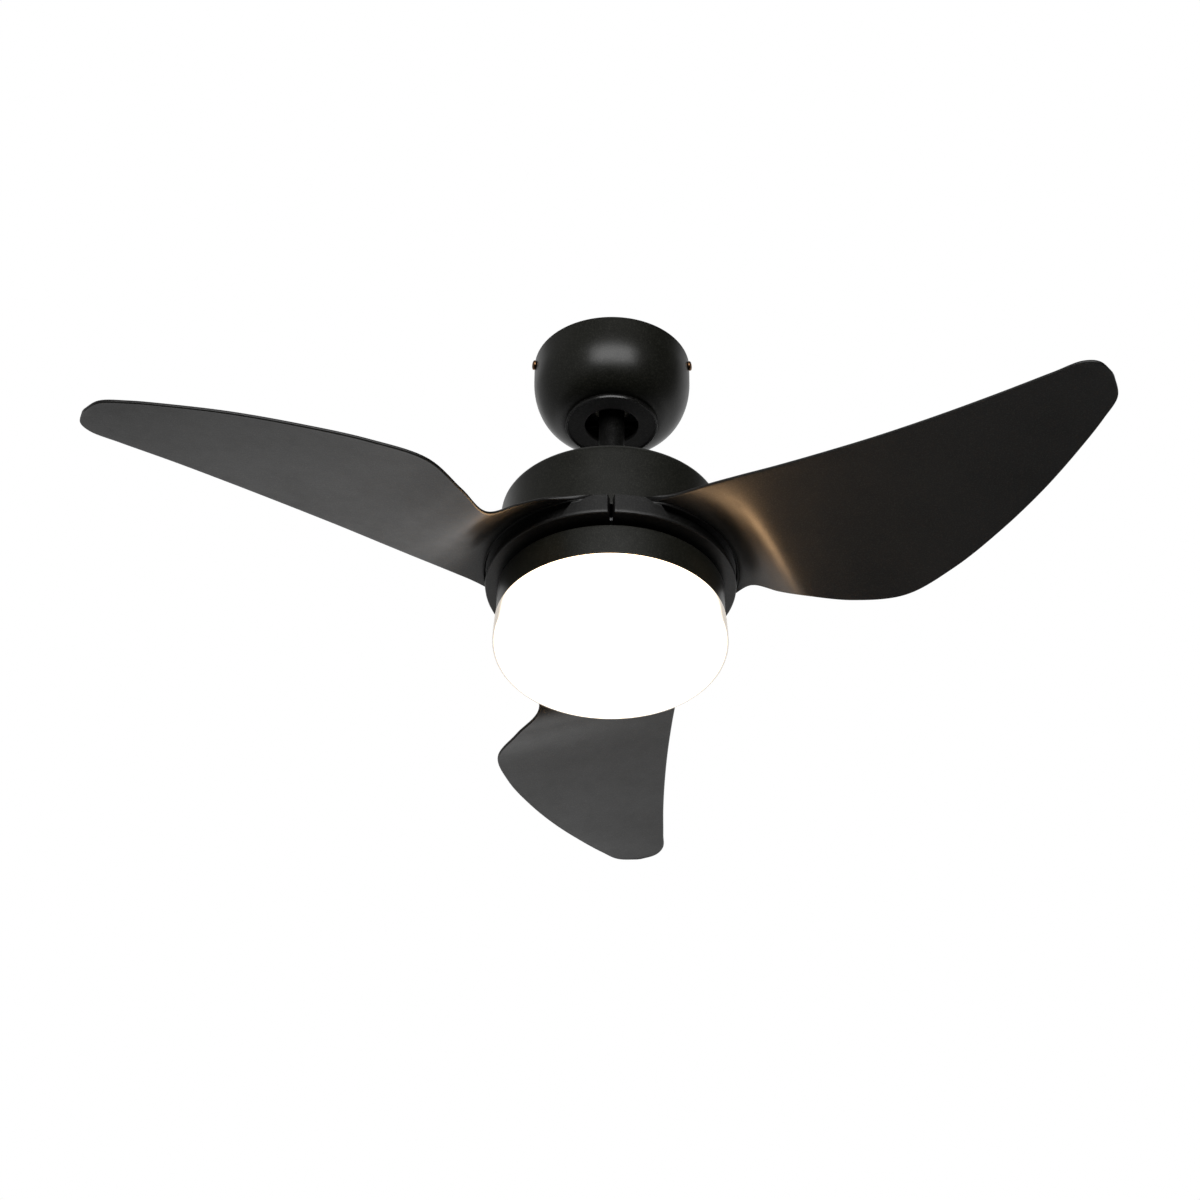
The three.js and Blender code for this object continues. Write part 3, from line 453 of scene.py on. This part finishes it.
def canopy_cover():
    """A cup with an egg-shaped wall and a hole in its floor for the trim ring."""
    low, high = span("canopy_cover")
    radius = high.x
    wall = 1.2
    curve_top = high.z - 21.6
    lip_radius, lip_inner = 47.2, 44
    outside = quarter(radius, curve_top, lip_radius, low.z, 28)
    inside = quarter(radius - wall, curve_top, lip_radius - wall, low.z + wall, 28)
    profile = rounded([
        (radius - wall, high.z, 0.4), (radius, high.z, 0.4), (radius, curve_top + 2), (radius, curve_top),
    ])
    profile += outside[:-1]
    profile += rounded([outside[-1], (lip_inner, low.z, 0.3), (lip_inner, low.z + wall, 0.3), inside[-1]])
    profile += inside[-2::-1]
    profile += [(radius - wall, curve_top), (radius - wall, curve_top + 2)]
    turned_piece("canopy_cover", profile)


def canopy_trim_ring():
    """A flat ring with a raised rim, held in the canopy's hole by a short spigot."""
    low, high = span("canopy_trim_ring")
    radius = high.x
    recess = low.z + 1.0
    seat = high.z - 3
    hole = 27.4
    spigot_outer, spigot_inner = 43.6, 42.2
    profile = rounded([
        (hole, recess, 0.4), (radius - 2.0, recess, 0.2), (radius - 1.8, low.z, 0.25),
        (radius - 0.5, low.z, 0.35), (radius, low.z + 2.0, 0.6), (radius, seat, 0.3),
        (spigot_outer, seat), (spigot_outer, high.z, 0.2), (spigot_inner, high.z, 0.2), (spigot_inner, seat),
        (hole, seat, 0.4),
    ])
    turned_piece("canopy_trim_ring", profile)


def downrod():
    low, high = span("downrod")
    radius, bore = high.x, 11
    turned_piece("downrod", rounded([
        (bore, low.z, 0.3), (radius, low.z, 0.5), (radius, high.z, 0.5), (bore, high.z, 0.3),
    ]), steps=96)


def yoke_cover():
    """A cone that flares out in steps from the rod to the housing."""
    low, high = span("yoke_cover")
    radius = high.x
    outer = [
        (radius, low.z, 0.6), (radius, low.z + 5, 3), (34, high.z - 34, 8), (27, high.z - 19, 10),
        (21.5, high.z - 7, 6), (19, high.z - 1.5, 1.5),
    ]
    wall = 1.5
    inner = [(r - wall, z, max(f - 0.5, 0)) for r, z, f in outer[1:-1]]
    profile = [*outer, (14, high.z, 0.5), (14, high.z - wall), (17.5, high.z - 2.8), *inner[::-1]]
    profile.append((radius - wall, low.z, 0.4))
    turned_piece("yoke_cover", rounded(profile), steps=128)


def upper_housing():
    """A drum with a rounded shoulder, open below."""
    low, high = span("upper_housing")
    radius, wall, hole = high.x, 1.6, 22
    curve_start = high.z - 16
    squareness = 4
    outside = quarter(radius, curve_start, 0, high.z, 60, squareness)
    inside = quarter(radius - wall, curve_start, 0, high.z - wall, 60, squareness)
    outside = [p for p in outside if p[0] > hole + 1]
    inside = [p for p in inside if p[0] > hole + 1]
    profile = rounded([(radius - wall, low.z, 0.4), (radius, low.z, 0.7), (radius, curve_start - 1)])
    profile += [(radius, curve_start), *outside]
    profile += rounded([outside[-1], (hole, high.z, 0.5), (hole, high.z - wall, 0.5), inside[-1]])[1:-1]
    profile += [*inside[::-1], (radius - wall, curve_start)]
    turned_piece("upper_housing", profile)


def light_kit_housing():
    """A shallower drum, closed above and open to the glass below."""
    low, high = span("light_kit_housing")
    radius, wall, hole = high.x, 1.6, 10.5
    inner = radius - wall
    turned_piece("light_kit_housing", rounded([
        (hole, high.z, 0.4), (hole, high.z - wall, 0.4), (inner, high.z - wall, 1.2), (inner, low.z, 0.5),
        (radius, low.z, 0.7), (radius, high.z, 1.4),
    ]))


def glass_shade():
    """A drum with a slightly domed floor, drawn in at the top to a neck."""
    low, high = span("glass_shade")
    radius = high.x
    wall, neck = 3, 105.8
    ledge = high.z - 8.4
    corner, corner_z = 21.6, low.z + 24
    floor = corner_z - corner
    outside = quarter(radius, corner_z, radius - corner, floor, 18)
    inside = quarter(radius - wall, corner_z, radius - corner, floor + wall, 14)
    profile = [(0, low.z), (24, low.z + 0.2), (48, low.z + 0.7), (72, low.z + 1.5), *outside[::-1]]
    profile += [(radius, corner_z), (radius - 0.25, low.z + 30), (radius - 0.8, low.z + 38)]
    profile += rounded([
        (radius - 1.2, low.z + 44), (radius - 1.7, ledge, 2.6), (neck, ledge, 0.5), (neck, high.z, 0.6),
        (neck - wall, high.z, 0.6), (neck - wall, ledge - wall, 1.5),
        (radius - 1.8 - wall, ledge - wall - 2, 2), (radius - 0.9 - wall, low.z + 35),
    ])
    profile += [(radius - wall, corner_z), *inside, (48, low.z + 0.7 + wall), (0, low.z + wall)]
    turned_piece("glass_shade", profile)


# ---------------------------------------------------------------- blades

# The underside's two long edges, paired from the root to the tip. X runs out along the blade, Y is
# anticlockwise from above, and Z is the height over the hub ring's lower edge.
STRAIGHT_EDGE = np.array([
    (97, -77, 16), (125, -76, 16.5), (150, -74.5, 16.8), (180, -72, 16.5), (215, -68.5, 16),
    (262, -64.5, 16), (318, -61, 16.2), (377, -59, 17.3), (437, -58.5, 19), (492, -59.5, 20.5),
    (521, -59.5, 21.4), (534, -52, 20.7), (539.5, -34, 18),
], float)
BELLY_EDGE = np.array([
    (86, 88, 16), (115, 76.5, 11), (145, 76, -8), (175, 72, -26.5), (214, 95.5, -31),
    (260, 116, -28.3), (315, 107, -22.5), (375, 85, -14), (431, 58.5, -4.6), (480, 29.5, 4.3),
    (512, 8, 10.5), (533, -10, 14.5), (539.5, -34, 18),
], float)
PAIRS = len(STRAIGHT_EDGE) - 1
ROOT_FADE = 3.2  # how many pairs of edge points the hub's round shape reaches out over
BLADE_THICKNESS = 3.6
EDGE_INSET = 0.55  # how far the flat faces end inside the edge points
EDGE_BULGE = 1.55  # how far the rounded edge stands out from where they end
BLADE_AZIMUTHS = (90, 210, 330)
HUB_Z = -285  # the hub ring's lower edge

HUB = {"inner": 84, "wall_inner": 112, "radius": 123, "low": -1.5, "top": 19.7, "plate_top": 1.5}
# The slot's side from its deepest column out: half the gap, and how far inside the wall the column stands.
SLOT_SIDE = [(1.35, 7.0), (2.9, 1.2), (3.15, 0.55), (3.5, 0.15), (4.0, 0)]
CHANNEL_BACK = 116.5  # radius of the back of the channel under the blade's root
CHANNEL_ENDS = (-37.5, 42.4)  # where the channel ends at its top, in degrees from the blade's middle line
CHANNEL_SLANT = 4.6  # how much nearer to the middle line it ends at its foot
CHANNEL_LOW = 2.5  # height of its foot
CHANNEL_REACH = 13  # degrees over which the wall's columns lean along with each of its ends
ROOT_FOOT = (-41.0, 47.0)  # ends of the root's lower line
ROOT_TOP = (-44.8, 51.7)  # ends of its upper line, where the blade's edge runs out in the hub's top
ROOT_REACH = 11  # degrees over which the top's columns are moved aside with each of those ends
LIP = 2.6  # how far the root's rounded lip stands out from the wall
LIP_RUN = 5.0  # degrees over which the lip grows at each end
FOOT = 16.0  # height of the root's lower line
# Where the sheet's sections stand, as numbers of pairs of edge points, close together at the root.
STATIONS = np.concatenate([[0.03, 0.07, 0.12, 0.18, 0.25], np.linspace(0.33, PAIRS - 0.1, 132)])


def spline(points, where):
    """Centripetal Catmull-Rom curve through the points, at where from 0 to the last point's number."""
    first, last = 2 * points[0] - points[1], 2 * points[-1] - points[-2]
    knots = np.vstack([first, points, last])
    i = min(int(where), len(points) - 2)
    t = where - i
    p0, p1, p2, p3 = knots[i:i + 4]
    d0, d1, d2 = (max(np.linalg.norm(b - a), 1e-4) ** 0.5 for a, b in ((p0, p1), (p1, p2), (p2, p3)))
    m1 = ((p1 - p0) / d0 - (p2 - p0) / (d0 + d1) + (p2 - p1) / d1) * d1
    m2 = ((p2 - p1) / d1 - (p3 - p1) / (d1 + d2) + (p3 - p2) / d2) * d1
    return (
        p1
        + m1 * t
        + (-3 * p1 + 3 * p2 - 2 * m1 - m2) * t**2
        + (2 * p1 - 2 * p2 + m1 + m2) * t**3
    )


def underside(along, across):
    """The underside at one place along the blade and a row of places across it (0 to 1)."""
    a, b = spline(STRAIGHT_EDGE, along), spline(BELLY_EDGE, along)
    across = np.asarray(across)[:, None]
    points = a * (1 - across) + b * across
    fade = max(0.0, 1 - along / ROOT_FADE) ** 2
    root_a, root_b = STRAIGHT_EDGE[0], BELLY_EDGE[0]
    start, end = math.atan2(root_a[1], root_a[0]), math.atan2(root_b[1], root_b[0])
    radius = np.linalg.norm(root_a) * (1 - across) + np.linalg.norm(root_b) * across
    angle = start + (end - start) * across
    on_hub = np.hstack([radius * np.cos(angle), radius * np.sin(angle), 0 * angle])
    on_chord = root_a * (1 - across) + root_b * across
    on_chord[:, 2] = 0
    return points + fade * (on_hub - on_chord)


def bump_at(angle, centre, reach):
    """1 at the centre, falling smoothly to 0 at reach degrees from it."""
    share = np.clip(1 - np.abs(angle - centre) / reach, 0, 1)
    return share * share * (3 - 2 * share)


def hub_columns():
    """Azimuths of the hub sector's columns, close together where its wall changes."""
    slot = np.linspace(60, 58, len(SLOT_SIDE))
    marks = [*-slot, -54, -49, *(ROOT_FOOT[0] + d for d in (-3, -1.5, -0.6, 0, 0.8, 1.8))]
    marks += [CHANNEL_ENDS[0] + d for d in (-0.7, -0.25, 0.25, 0.7, 1.4)]
    marks += list(np.linspace(CHANNEL_ENDS[0] + 2.6, CHANNEL_ENDS[1] - 2.6, 46))
    marks += [CHANNEL_ENDS[1] + d for d in (-1.4, -0.7, -0.25, 0.25, 0.7)]
    marks += [ROOT_FOOT[1] + d for d in (-1.8, -0.8, 0, 0.6, 1.5, 3)] + [52, 55, *slot[::-1]]
    return np.array(marks)


def hub_wall(angle):
    """Rows of the hub's section at one azimuth, as (radius, height), from the inner foot to the inner top."""
    radius, low, top = HUB["radius"], HUB["low"], HUB["top"]
    in_channel = float(CHANNEL_ENDS[0] < angle < CHANNEL_ENDS[1])
    lip = np.clip(min(angle - ROOT_FOOT[0], ROOT_FOOT[1] - angle) / LIP_RUN, 0, 1)
    channel_top = 16.8

    def either(wall, channel):
        return tuple(np.array(wall) * (1 - in_channel) + np.array(channel) * in_channel)

    def raised(flat, lipped):
        return tuple(np.array(flat) * (1 - lip) + np.array(lipped) * lip)

    rows = [
        (HUB["inner"], low), (105, low), (radius - 1.4, low), (radius - 0.9, low + 0.12),
        (radius - 0.5, low + 0.45), (radius - 0.33, low + 0.9), (radius - 0.08, low + 2.3),
        either((radius, 1.6), (radius - 0.2, 1.5)),
        either((radius, 2.4), (radius - 0.8, 2.0)),
        either((radius, 3.2), (CHANNEL_BACK + 1.4, 2.6)),
        either((radius, 4.2), (CHANNEL_BACK + 0.2, 3.6)),
        either((radius, 12.4), (CHANNEL_BACK, 14.6)),
        either((radius, 13.0), (CHANNEL_BACK + 0.8, channel_top - 0.4)),
        either((radius, FOOT - 2.3), (radius - 0.2, channel_top)),
        either(raised((radius, FOOT - 1.6), (radius + 0.4, FOOT - 1.5)), (radius + 0.6, FOOT - 0.2)),
        raised((radius, FOOT - 1.0), (radius + 1.0, FOOT - 1.7)),
        raised((radius, FOOT - 0.7), (radius + 1.7, FOOT - 1.9)),
        raised((radius, FOOT - 0.45), (radius + 2.1, FOOT - 1.6)),
        raised((radius, FOOT - 0.2), (radius + 2.5, FOOT - 0.2)),
        (radius + LIP * lip, FOOT),
    ]
    ring_top = [(radius, top - 0.35), (radius - 0.35, top), (radius - 3, top)]
    inner = [
        (HUB["wall_inner"] + 0.5, top), (HUB["wall_inner"], top - 0.5),
        (HUB["wall_inner"], HUB["plate_top"] + 1), (HUB["wall_inner"] - 1, HUB["plate_top"]),
        (HUB["inner"] + 0.4, HUB["plate_top"]), (HUB["inner"], HUB["plate_top"] - 0.4),
    ]
    return rows, ring_top, inner


EDGE_STEPS = 9  # points round the blade's edge, between its underside and its top
EDGE_ROWS = range(1, EDGE_STEPS + 1)
EDGE_SHARES = [(1 - math.cos(math.pi * k / (EDGE_STEPS + 1))) / 2 for k in EDGE_ROWS]


class Moulding:
    """One blade's points and faces. Hub points are kept by their kind of row, their column and their row."""

    def __init__(self):
        self.columns = hub_columns()
        self.points, self.faces, self.index = [], [], {}

    def put(self, kind, column, row, r, z, shift=0.0):
        """Adds a hub point. The end columns shape the slot's side and its rounded corner."""
        from_end = min(column, len(self.columns) - 1 - column)
        angle = self.columns[column] + shift
        if from_end < len(SLOT_SIDE):
            gap, inwards = SLOT_SIDE[from_end]
            r = min(r, HUB["radius"] - inwards)
            side = -1 if column < len(self.columns) / 2 else 1
            angle = side * (60 - math.degrees(math.asin(gap / r)))
        turn = math.radians(angle)
        self.index[kind, column, row] = len(self.points)
        self.points.append(np.array([r * math.cos(turn), r * math.sin(turn), z]))

    def band(self, first, second):
        """Faces between two rows, each a kind and a row's number, wherever both have points."""
        for i in range(len(self.columns) - 1):
            ends = (first, i), (first, i + 1), (second, i + 1), (second, i)
            corners = [self.index.get((kind, column, row)) for (kind, row), column in ends]
            if None not in corners:
                self.faces.append(corners)

    def ring_on(self, loop, ring):
        """Adds a ring of points and joins it to the last loop. Returns the new loop."""
        count = len(self.points)
        new_loop = list(range(count, count + len(ring)))
        self.points.extend(ring)
        for a in range(len(loop)):
            b = (a + 1) % len(loop)
            self.faces.append([loop[a], loop[b], new_loop[b], new_loop[a]])
        return new_loop


def hub_sector(moulding, root):
    """The blade's third of the hub ring, open where the sheet grows out. Returns the foot's row."""
    for i, angle in enumerate(moulding.columns):
        wall, ring_top, inner = hub_wall(angle)
        at_channel = [bump_at(angle, end, CHANNEL_REACH) for end in CHANNEL_ENDS]
        at_root = [bump_at(angle, end, ROOT_REACH) for end in ROOT_FOOT]
        top_shift = sum(w * (t - f) for w, t, f in zip(at_root, ROOT_TOP, ROOT_FOOT))
        for j, (r, z) in enumerate(wall):
            depth = np.clip((FOOT - z) / (FOOT - CHANNEL_LOW), 0, 1)
            slant = (at_channel[0] - at_channel[1]) * CHANNEL_SLANT * depth if z > 0.5 else 0
            moulding.put("wall", i, j, r, z, slant)
        if i <= root[0] or i >= root[-1]:
            (foot_r, foot_z), (top_r, top_z) = wall[-1], ring_top[0]
            for k, share in zip(EDGE_ROWS, EDGE_SHARES):
                r = foot_r + (top_r - foot_r) * share
                z = foot_z + (top_z - foot_z) * share
                moulding.put("side", i, k, r, z, top_shift * share)
        if i in root:
            ring_top[0] = (HUB["radius"] + 0.3, HUB["top"] - 0.1)
        for j, (r, z) in enumerate(ring_top + inner):
            moulding.put("top", i, j, r, z, top_shift if j < 2 else 0)

    around = [("wall", j) for j in range(len(wall))] + [("side", k) for k in EDGE_ROWS]
    around += [("top", j) for j in range(len(ring_top + inner))]
    for first, second in zip(around, around[1:] + around[:1]):
        moulding.band(first, second)
    for column in (0, len(moulding.columns) - 1):
        moulding.faces.append([moulding.index[kind, column, row] for kind, row in around])
    return len(wall) - 1


def rounded_edge(under, top, edge, along):
    """Points round one edge of a section, whose flat faces are drawn in to make room for them."""
    beside = 1 if edge == 0 else -2
    out = under[edge] - under[beside]
    out[2] = 0
    grown = min(1.0, along / 0.5)
    out *= grown / np.linalg.norm(out)
    under[edge] -= out * EDGE_INSET
    top[edge] -= out * EDGE_INSET
    points = []
    for share in EDGE_SHARES:
        fullness = math.sqrt(1 - (2 * share - 1) ** 2)
        points.append(under[edge] * (1 - share) + top[edge] * share + out * EDGE_BULGE * fullness)
    return points


def blade_sheet(moulding, root, foot):
    """The sheet, drawn out of the hub's wall in loops of underside, far edge, top and near edge."""
    index, points = moulding.index, moulding.points
    under_loop = [index["wall", i, foot] for i in root]
    top_loop = [index["top", i, 0] for i in root]
    near_loop, far_loop = ([index["side", end, k] for k in EDGE_ROWS] for end in (root[0], root[-1]))
    loop = [*under_loop, *far_loop, *top_loop[::-1], *near_loop[::-1]]

    angles = moulding.columns[root.start:root.stop]
    across = (angles - angles[0]) / (angles[-1] - angles[0])
    lift = np.array([0, 0, BLADE_THICKNESS])
    under_gap = np.array([points[i] for i in under_loop]) - underside(0, across)
    top_gap = np.array([points[i] for i in top_loop]) - underside(0, across) - lift
    for along in STATIONS:
        root_share = max(0.0, 1 - along / 0.9) ** 2
        section = underside(along, across)
        under = section + under_gap * root_share
        top = section + lift + top_gap * root_share
        far, near = rounded_edge(under, top, -1, along), rounded_edge(under, top, 0, along)
        loop = moulding.ring_on(loop, [*under, *far, *top[::-1], *near[::-1]])

    count = len(root)
    under_loop, far_loop = loop[:count], loop[count:count + EDGE_STEPS]
    top_loop = loop[count + EDGE_STEPS:2 * count + EDGE_STEPS][::-1]
    near_loop = loop[2 * count + EDGE_STEPS:][::-1]
    for a in range(count - 1):
        moulding.faces.append([under_loop[a], under_loop[a + 1], top_loop[a + 1], top_loop[a]])
    moulding.faces.append([under_loop[-1], *far_loop, top_loop[-1]])
    moulding.faces.append([under_loop[0], *near_loop, top_loop[0]])


def blade_mesh(azimuth):
    """One moulding: the hub sector, and the blade's sheet drawn out of its wall between the root's lines."""
    moulding = Moulding()
    foot_ends = [int(np.argmin(np.abs(moulding.columns - end))) for end in ROOT_FOOT]
    root = range(foot_ends[0], foot_ends[1] + 1)
    foot = hub_sector(moulding, root)
    blade_sheet(moulding, root, foot)
    turn = Matrix.Translation((0, 0, HUB_Z)) @ Matrix.Rotation(math.radians(azimuth), 4, "Z")
    return mesh_of([turn @ Vector(p) for p in moulding.points], moulding.faces)


def blades():
    for number, azimuth in enumerate(BLADE_AZIMUTHS, 1):
        name = f"blade_{number}"
        show(name, blade_mesh(azimuth), name)


# ---------------------------------------------------------------- screws and inner parts


def oriented(points, origin, axis):
    """Points drawn about Z moved so that Z runs along an axis through the origin."""
    turn = Vector((0, 0, 1)).rotation_difference(Vector(axis)).to_matrix()
    return [turn @ Vector(p) + Vector(origin) for p in points]


def cross_recess(mesh, origin, axis, size, depth):
    """Presses a cross-shaped driver recess into the head of a screw."""
    shape = bmesh.new()
    shape.from_mesh(mesh)
    turn = Vector(axis).rotation_difference(Vector((0, 0, 1))).to_matrix()
    for vert in shape.verts:
        local = turn @ (vert.co / MM - Vector(origin))
        reach = max(abs(local.x), abs(local.y))
        narrow = min(abs(local.x), abs(local.y))
        if local.z > 0 and reach < size and narrow < 0.22 * size + 0.2:
            sink = depth * min(1, (size - reach) / (0.3 * size))
            vert.co -= Vector(axis) * sink * MM
    shape.to_mesh(mesh)
    shape.free()


def screw_profile():
    """Half section of a pan-head screw, with its seat at height 0."""
    head, head_height, washer = 5.0, 3.4, 0.35
    shank, point, pitch, turns = 1.95, 6.6, 0.7, 5
    profile = [(0, -point), (shank * 0.6, -point), (shank, -point + 1.2)]
    for i in range(turns):
        z = -point + 1.4 + pitch * i
        profile += [(shank, z), (shank - 0.3, z + pitch / 2)]
    profile += [(shank, 0), (shank, washer), (head - 0.4, washer), (head, 0.7), (head, 1.3)]
    *dome, pole = quarter(head, 1.3, 0, head_height, 14, 2.6)
    reach = dome[-1][0]
    for share in (0.6, 0.35, 0.18):  # rings that give the driver recess its shape
        reach *= share ** 0.5
        dome.append((reach, head_height - 0.01))
    return [*profile, *dome, pole]


def canopy_screws():
    """Bronze screws through the canopy's wall into the bracket's ears."""
    wall_radius = span("canopy_cover")[1].x
    for node in ("canopy_screw_1", "canopy_screw_2"):
        low, high = span(node)
        middle = (low + high) / 2
        axis = Vector((middle.x, middle.y, 0)).normalized()
        origin = axis * wall_radius + Vector((0, 0, middle.z))
        points, faces = turned(screw_profile(), SMALL_TURN_STEPS)
        mesh = mesh_of(oriented(points, origin, axis), faces)
        cross_recess(mesh, origin, axis, 2.6, 1.6)
        show(node, mesh, node)


def refined(node, bevel):
    """The CAD shape with its edges broken and its round faces smooth."""
    shape = bmesh.new()
    shape.from_mesh(frame["nodes"][node].data)
    bmesh.ops.remove_doubles(shape, verts=shape.verts, dist=0.01 * MM)
    bmesh.ops.dissolve_limit(shape, angle_limit=math.radians(1), verts=shape.verts, edges=shape.edges)
    mesh = bpy.data.meshes.new(node)
    smooth_into(shape, mesh)
    piece = show(node, mesh, node)
    edges = piece.modifiers.new("broken_edges", "BEVEL")
    edges.width = bevel * MM
    edges.segments = 2
    edges.limit_method = "ANGLE"
    edges.angle_limit = SHARP_ANGLE
    edges.use_clamp_overlap = True
    piece.modifiers.move(1, 0)


BEVELS = {  # width of the broken edges of some inner parts, in millimetres; the others take PLAIN_BEVEL
    "receiver_box": 1.0,
    "terminal_block": 0.5,
    "led_driver": 1.2,
    "hanger_ball": 0.8,
    "motor_yoke": 0.6,
    "rotor_bell": 0.8,
    "stator_core": 0.15,
}
PLAIN_BEVEL = 0.25


def inner_parts():
    shaped = {name for name in frame["nodes"] if f"{name}_shape" in bpy.data.objects}
    for node in frame["nodes"]:
        if node not in shaped:
            refined(node, BEVELS.get(node, PLAIN_BEVEL))


canopy_cover()
canopy_trim_ring()
canopy_screws()
downrod()
yoke_cover()
upper_housing()
light_kit_housing()
glass_shade()
blades()
inner_parts()

# ---------------------------------------------------------------- camera, light and floor


CAMERA_PLACE = (0, -2.2578, -1.9598)
CAMERA_PITCH, CAMERA_YAW, CAMERA_ROLL = math.radians(36.33), -0.0046, 0.0083


def camera():
    """Below and in front of the fan, looking up."""
    data = bpy.data.cameras.new("camera")
    data.lens = 86.32
    data.sensor_width = 36
    made = bpy.data.objects.new("camera", data)
    bpy.context.scene.collection.objects.link(made)
    made.location = CAMERA_PLACE
    pitch, yaw, roll = CAMERA_PITCH, CAMERA_YAW, CAMERA_ROLL
    ahead = Vector((math.sin(yaw) * math.cos(pitch), math.cos(yaw) * math.cos(pitch), math.sin(pitch)))
    level = Vector((math.cos(yaw), -math.sin(yaw), 0))
    up = level.cross(ahead)
    right = math.cos(roll) * level + math.sin(roll) * up
    up = right.cross(ahead)
    made.rotation_mode = "QUATERNION"
    made.rotation_quaternion = Matrix((right, up, -ahead)).transposed().to_quaternion()
    bpy.context.scene.camera = made


def disc(name, radius, z, material):
    """A flat disc of the stage about the Z axis."""
    mesh = bpy.data.meshes.new(name)
    shape = bmesh.new()
    bmesh.ops.create_circle(shape, cap_ends=True, segments=96, radius=radius)
    shape.to_mesh(mesh)
    shape.free()
    mesh.materials.append(material)
    made = bpy.data.objects.new(name, mesh)
    made.location.z = z
    bpy.context.scene.collection.objects.link(made)
    return made


def floor_and_ceiling():
    """A plain pale floor well under the fan, and a patch of ceiling that closes the canopy's open top.

    The camera looks through the ceiling.
    """
    shader = Shader("floor")
    shader.colour(shader.blend(shader.noise(3, 2), (0.74, 0.74, 0.74), (0.78, 0.78, 0.78)))
    shader.fixed(Roughness=0.9)
    disc("floor", 1.0, -2.45, shader.material)
    patch_radius = (span("canopy_cover")[1].x - 0.5) * MM
    disc("ceiling", patch_radius, 0.6 * MM, shader.material).visible_camera = False


def area_light(name, place, target, size, energy):
    """A rectangular lamp that faces a target and doesn't show in the picture."""
    data = bpy.data.lights.new(name, "AREA")
    data.shape = "RECTANGLE"
    data.size, data.size_y = size
    data.energy = energy
    made = bpy.data.objects.new(name, data)
    bpy.context.scene.collection.objects.link(made)
    made.location = place
    made.rotation_mode = "QUATERNION"
    made.rotation_quaternion = (Vector(target) - Vector(place)).to_track_quat("-Z", "Y")
    made.visible_camera = False


# How bright the surroundings are that the object mirrors.
WALL_LEVEL = 1.08  # behind the fan
LEFT_LEVEL = 0.24
RIGHT_LEVEL = 0.05
FRONT_LEVEL = 0.14
TOP_LEVEL = 0.40
ROOM_LEVEL = 0.03  # everywhere else


def world():
    """White to the camera; to the object, a bright wall behind it and a dimmer room in front."""
    made = bpy.data.worlds.new("studio")
    made.use_nodes = True
    nodes, links = made.node_tree.nodes, made.node_tree.links

    def step(value, low, high, new_low=0.0, new_high=1.0):
        """A smooth change from new_low to new_high while the value goes from low to high."""
        change = nodes.new("ShaderNodeMapRange")
        change.interpolation_type = "SMOOTHSTEP"
        links.new(value, change.inputs["Value"])
        for socket, number in zip(change.inputs[1:5], (low, high, new_low, new_high)):
            socket.default_value = number
        return change.outputs["Result"]

    def combined(operation, *values):
        maths = nodes.new("ShaderNodeMath")
        maths.operation = operation
        for value, socket in zip(values, maths.inputs):
            if isinstance(value, float):
                socket.default_value = value
            else:
                links.new(value, socket)
        return maths.outputs["Value"]

    def product(first, second):
        return combined("MULTIPLY", first, second)

    def larger(first, second):
        return combined("MAXIMUM", first, second)

    # The direction in which a ray leaves, so each step below is a soft border of a patch of light.
    parts = nodes.new("ShaderNodeSeparateXYZ")
    links.new(nodes.new("ShaderNodeTexCoord").outputs["Generated"], parts.inputs[0])
    x, y, z = parts.outputs
    above_floor = step(z, -0.75, -0.55)

    wall = product(step(z, -0.72, -0.54), step(z, 0.80, 0.40, 0.45, 1.0))
    wall = product(step(y, 0.12, 0.55, 0.0, WALL_LEVEL), wall)
    wall = product(wall, step(x, 1.0, -0.1, 0.6, 1.0))
    wall = product(wall, larger(step(x, -0.75, -0.25, 0.35, 1.0), step(z, 0.45, 0.62)))
    left = product(step(x, -0.2, -0.85, 0.0, LEFT_LEVEL), above_floor)
    right = product(step(x, 0.4, 0.95, 0.0, RIGHT_LEVEL), above_floor)
    front = product(step(y, -0.2, -0.7, 0.0, FRONT_LEVEL), step(z, 0.05, 0.35))
    top = larger(step(z, 0.80, 0.95, 0.0, TOP_LEVEL), ROOM_LEVEL)
    level = larger(larger(larger(wall, left), larger(right, front)), top)

    light, shown = nodes.new("ShaderNodeBackground"), nodes.new("ShaderNodeBackground")
    for background in (light, shown):
        background.inputs["Color"].default_value = (1, 1, 1, 1)
    links.new(level, light.inputs["Strength"])
    mixed = nodes.new("ShaderNodeMixShader")
    links.new(nodes.new("ShaderNodeLightPath").outputs["Is Camera Ray"], mixed.inputs["Fac"])
    links.new(light.outputs["Background"], mixed.inputs[1])
    links.new(shown.outputs["Background"], mixed.inputs[2])
    links.new(mixed.outputs["Shader"], nodes["World Output"].inputs["Surface"])
    bpy.context.scene.world = made


FAN_MIDDLE = (0, 0, -0.2)

camera()
floor_and_ceiling()
world()
area_light("front_softbox", (0.05, -2.6, 0.12), FAN_MIDDLE, (2.7, 1.3), 58)
bpy.context.scene.view_settings.view_transform = "Standard"
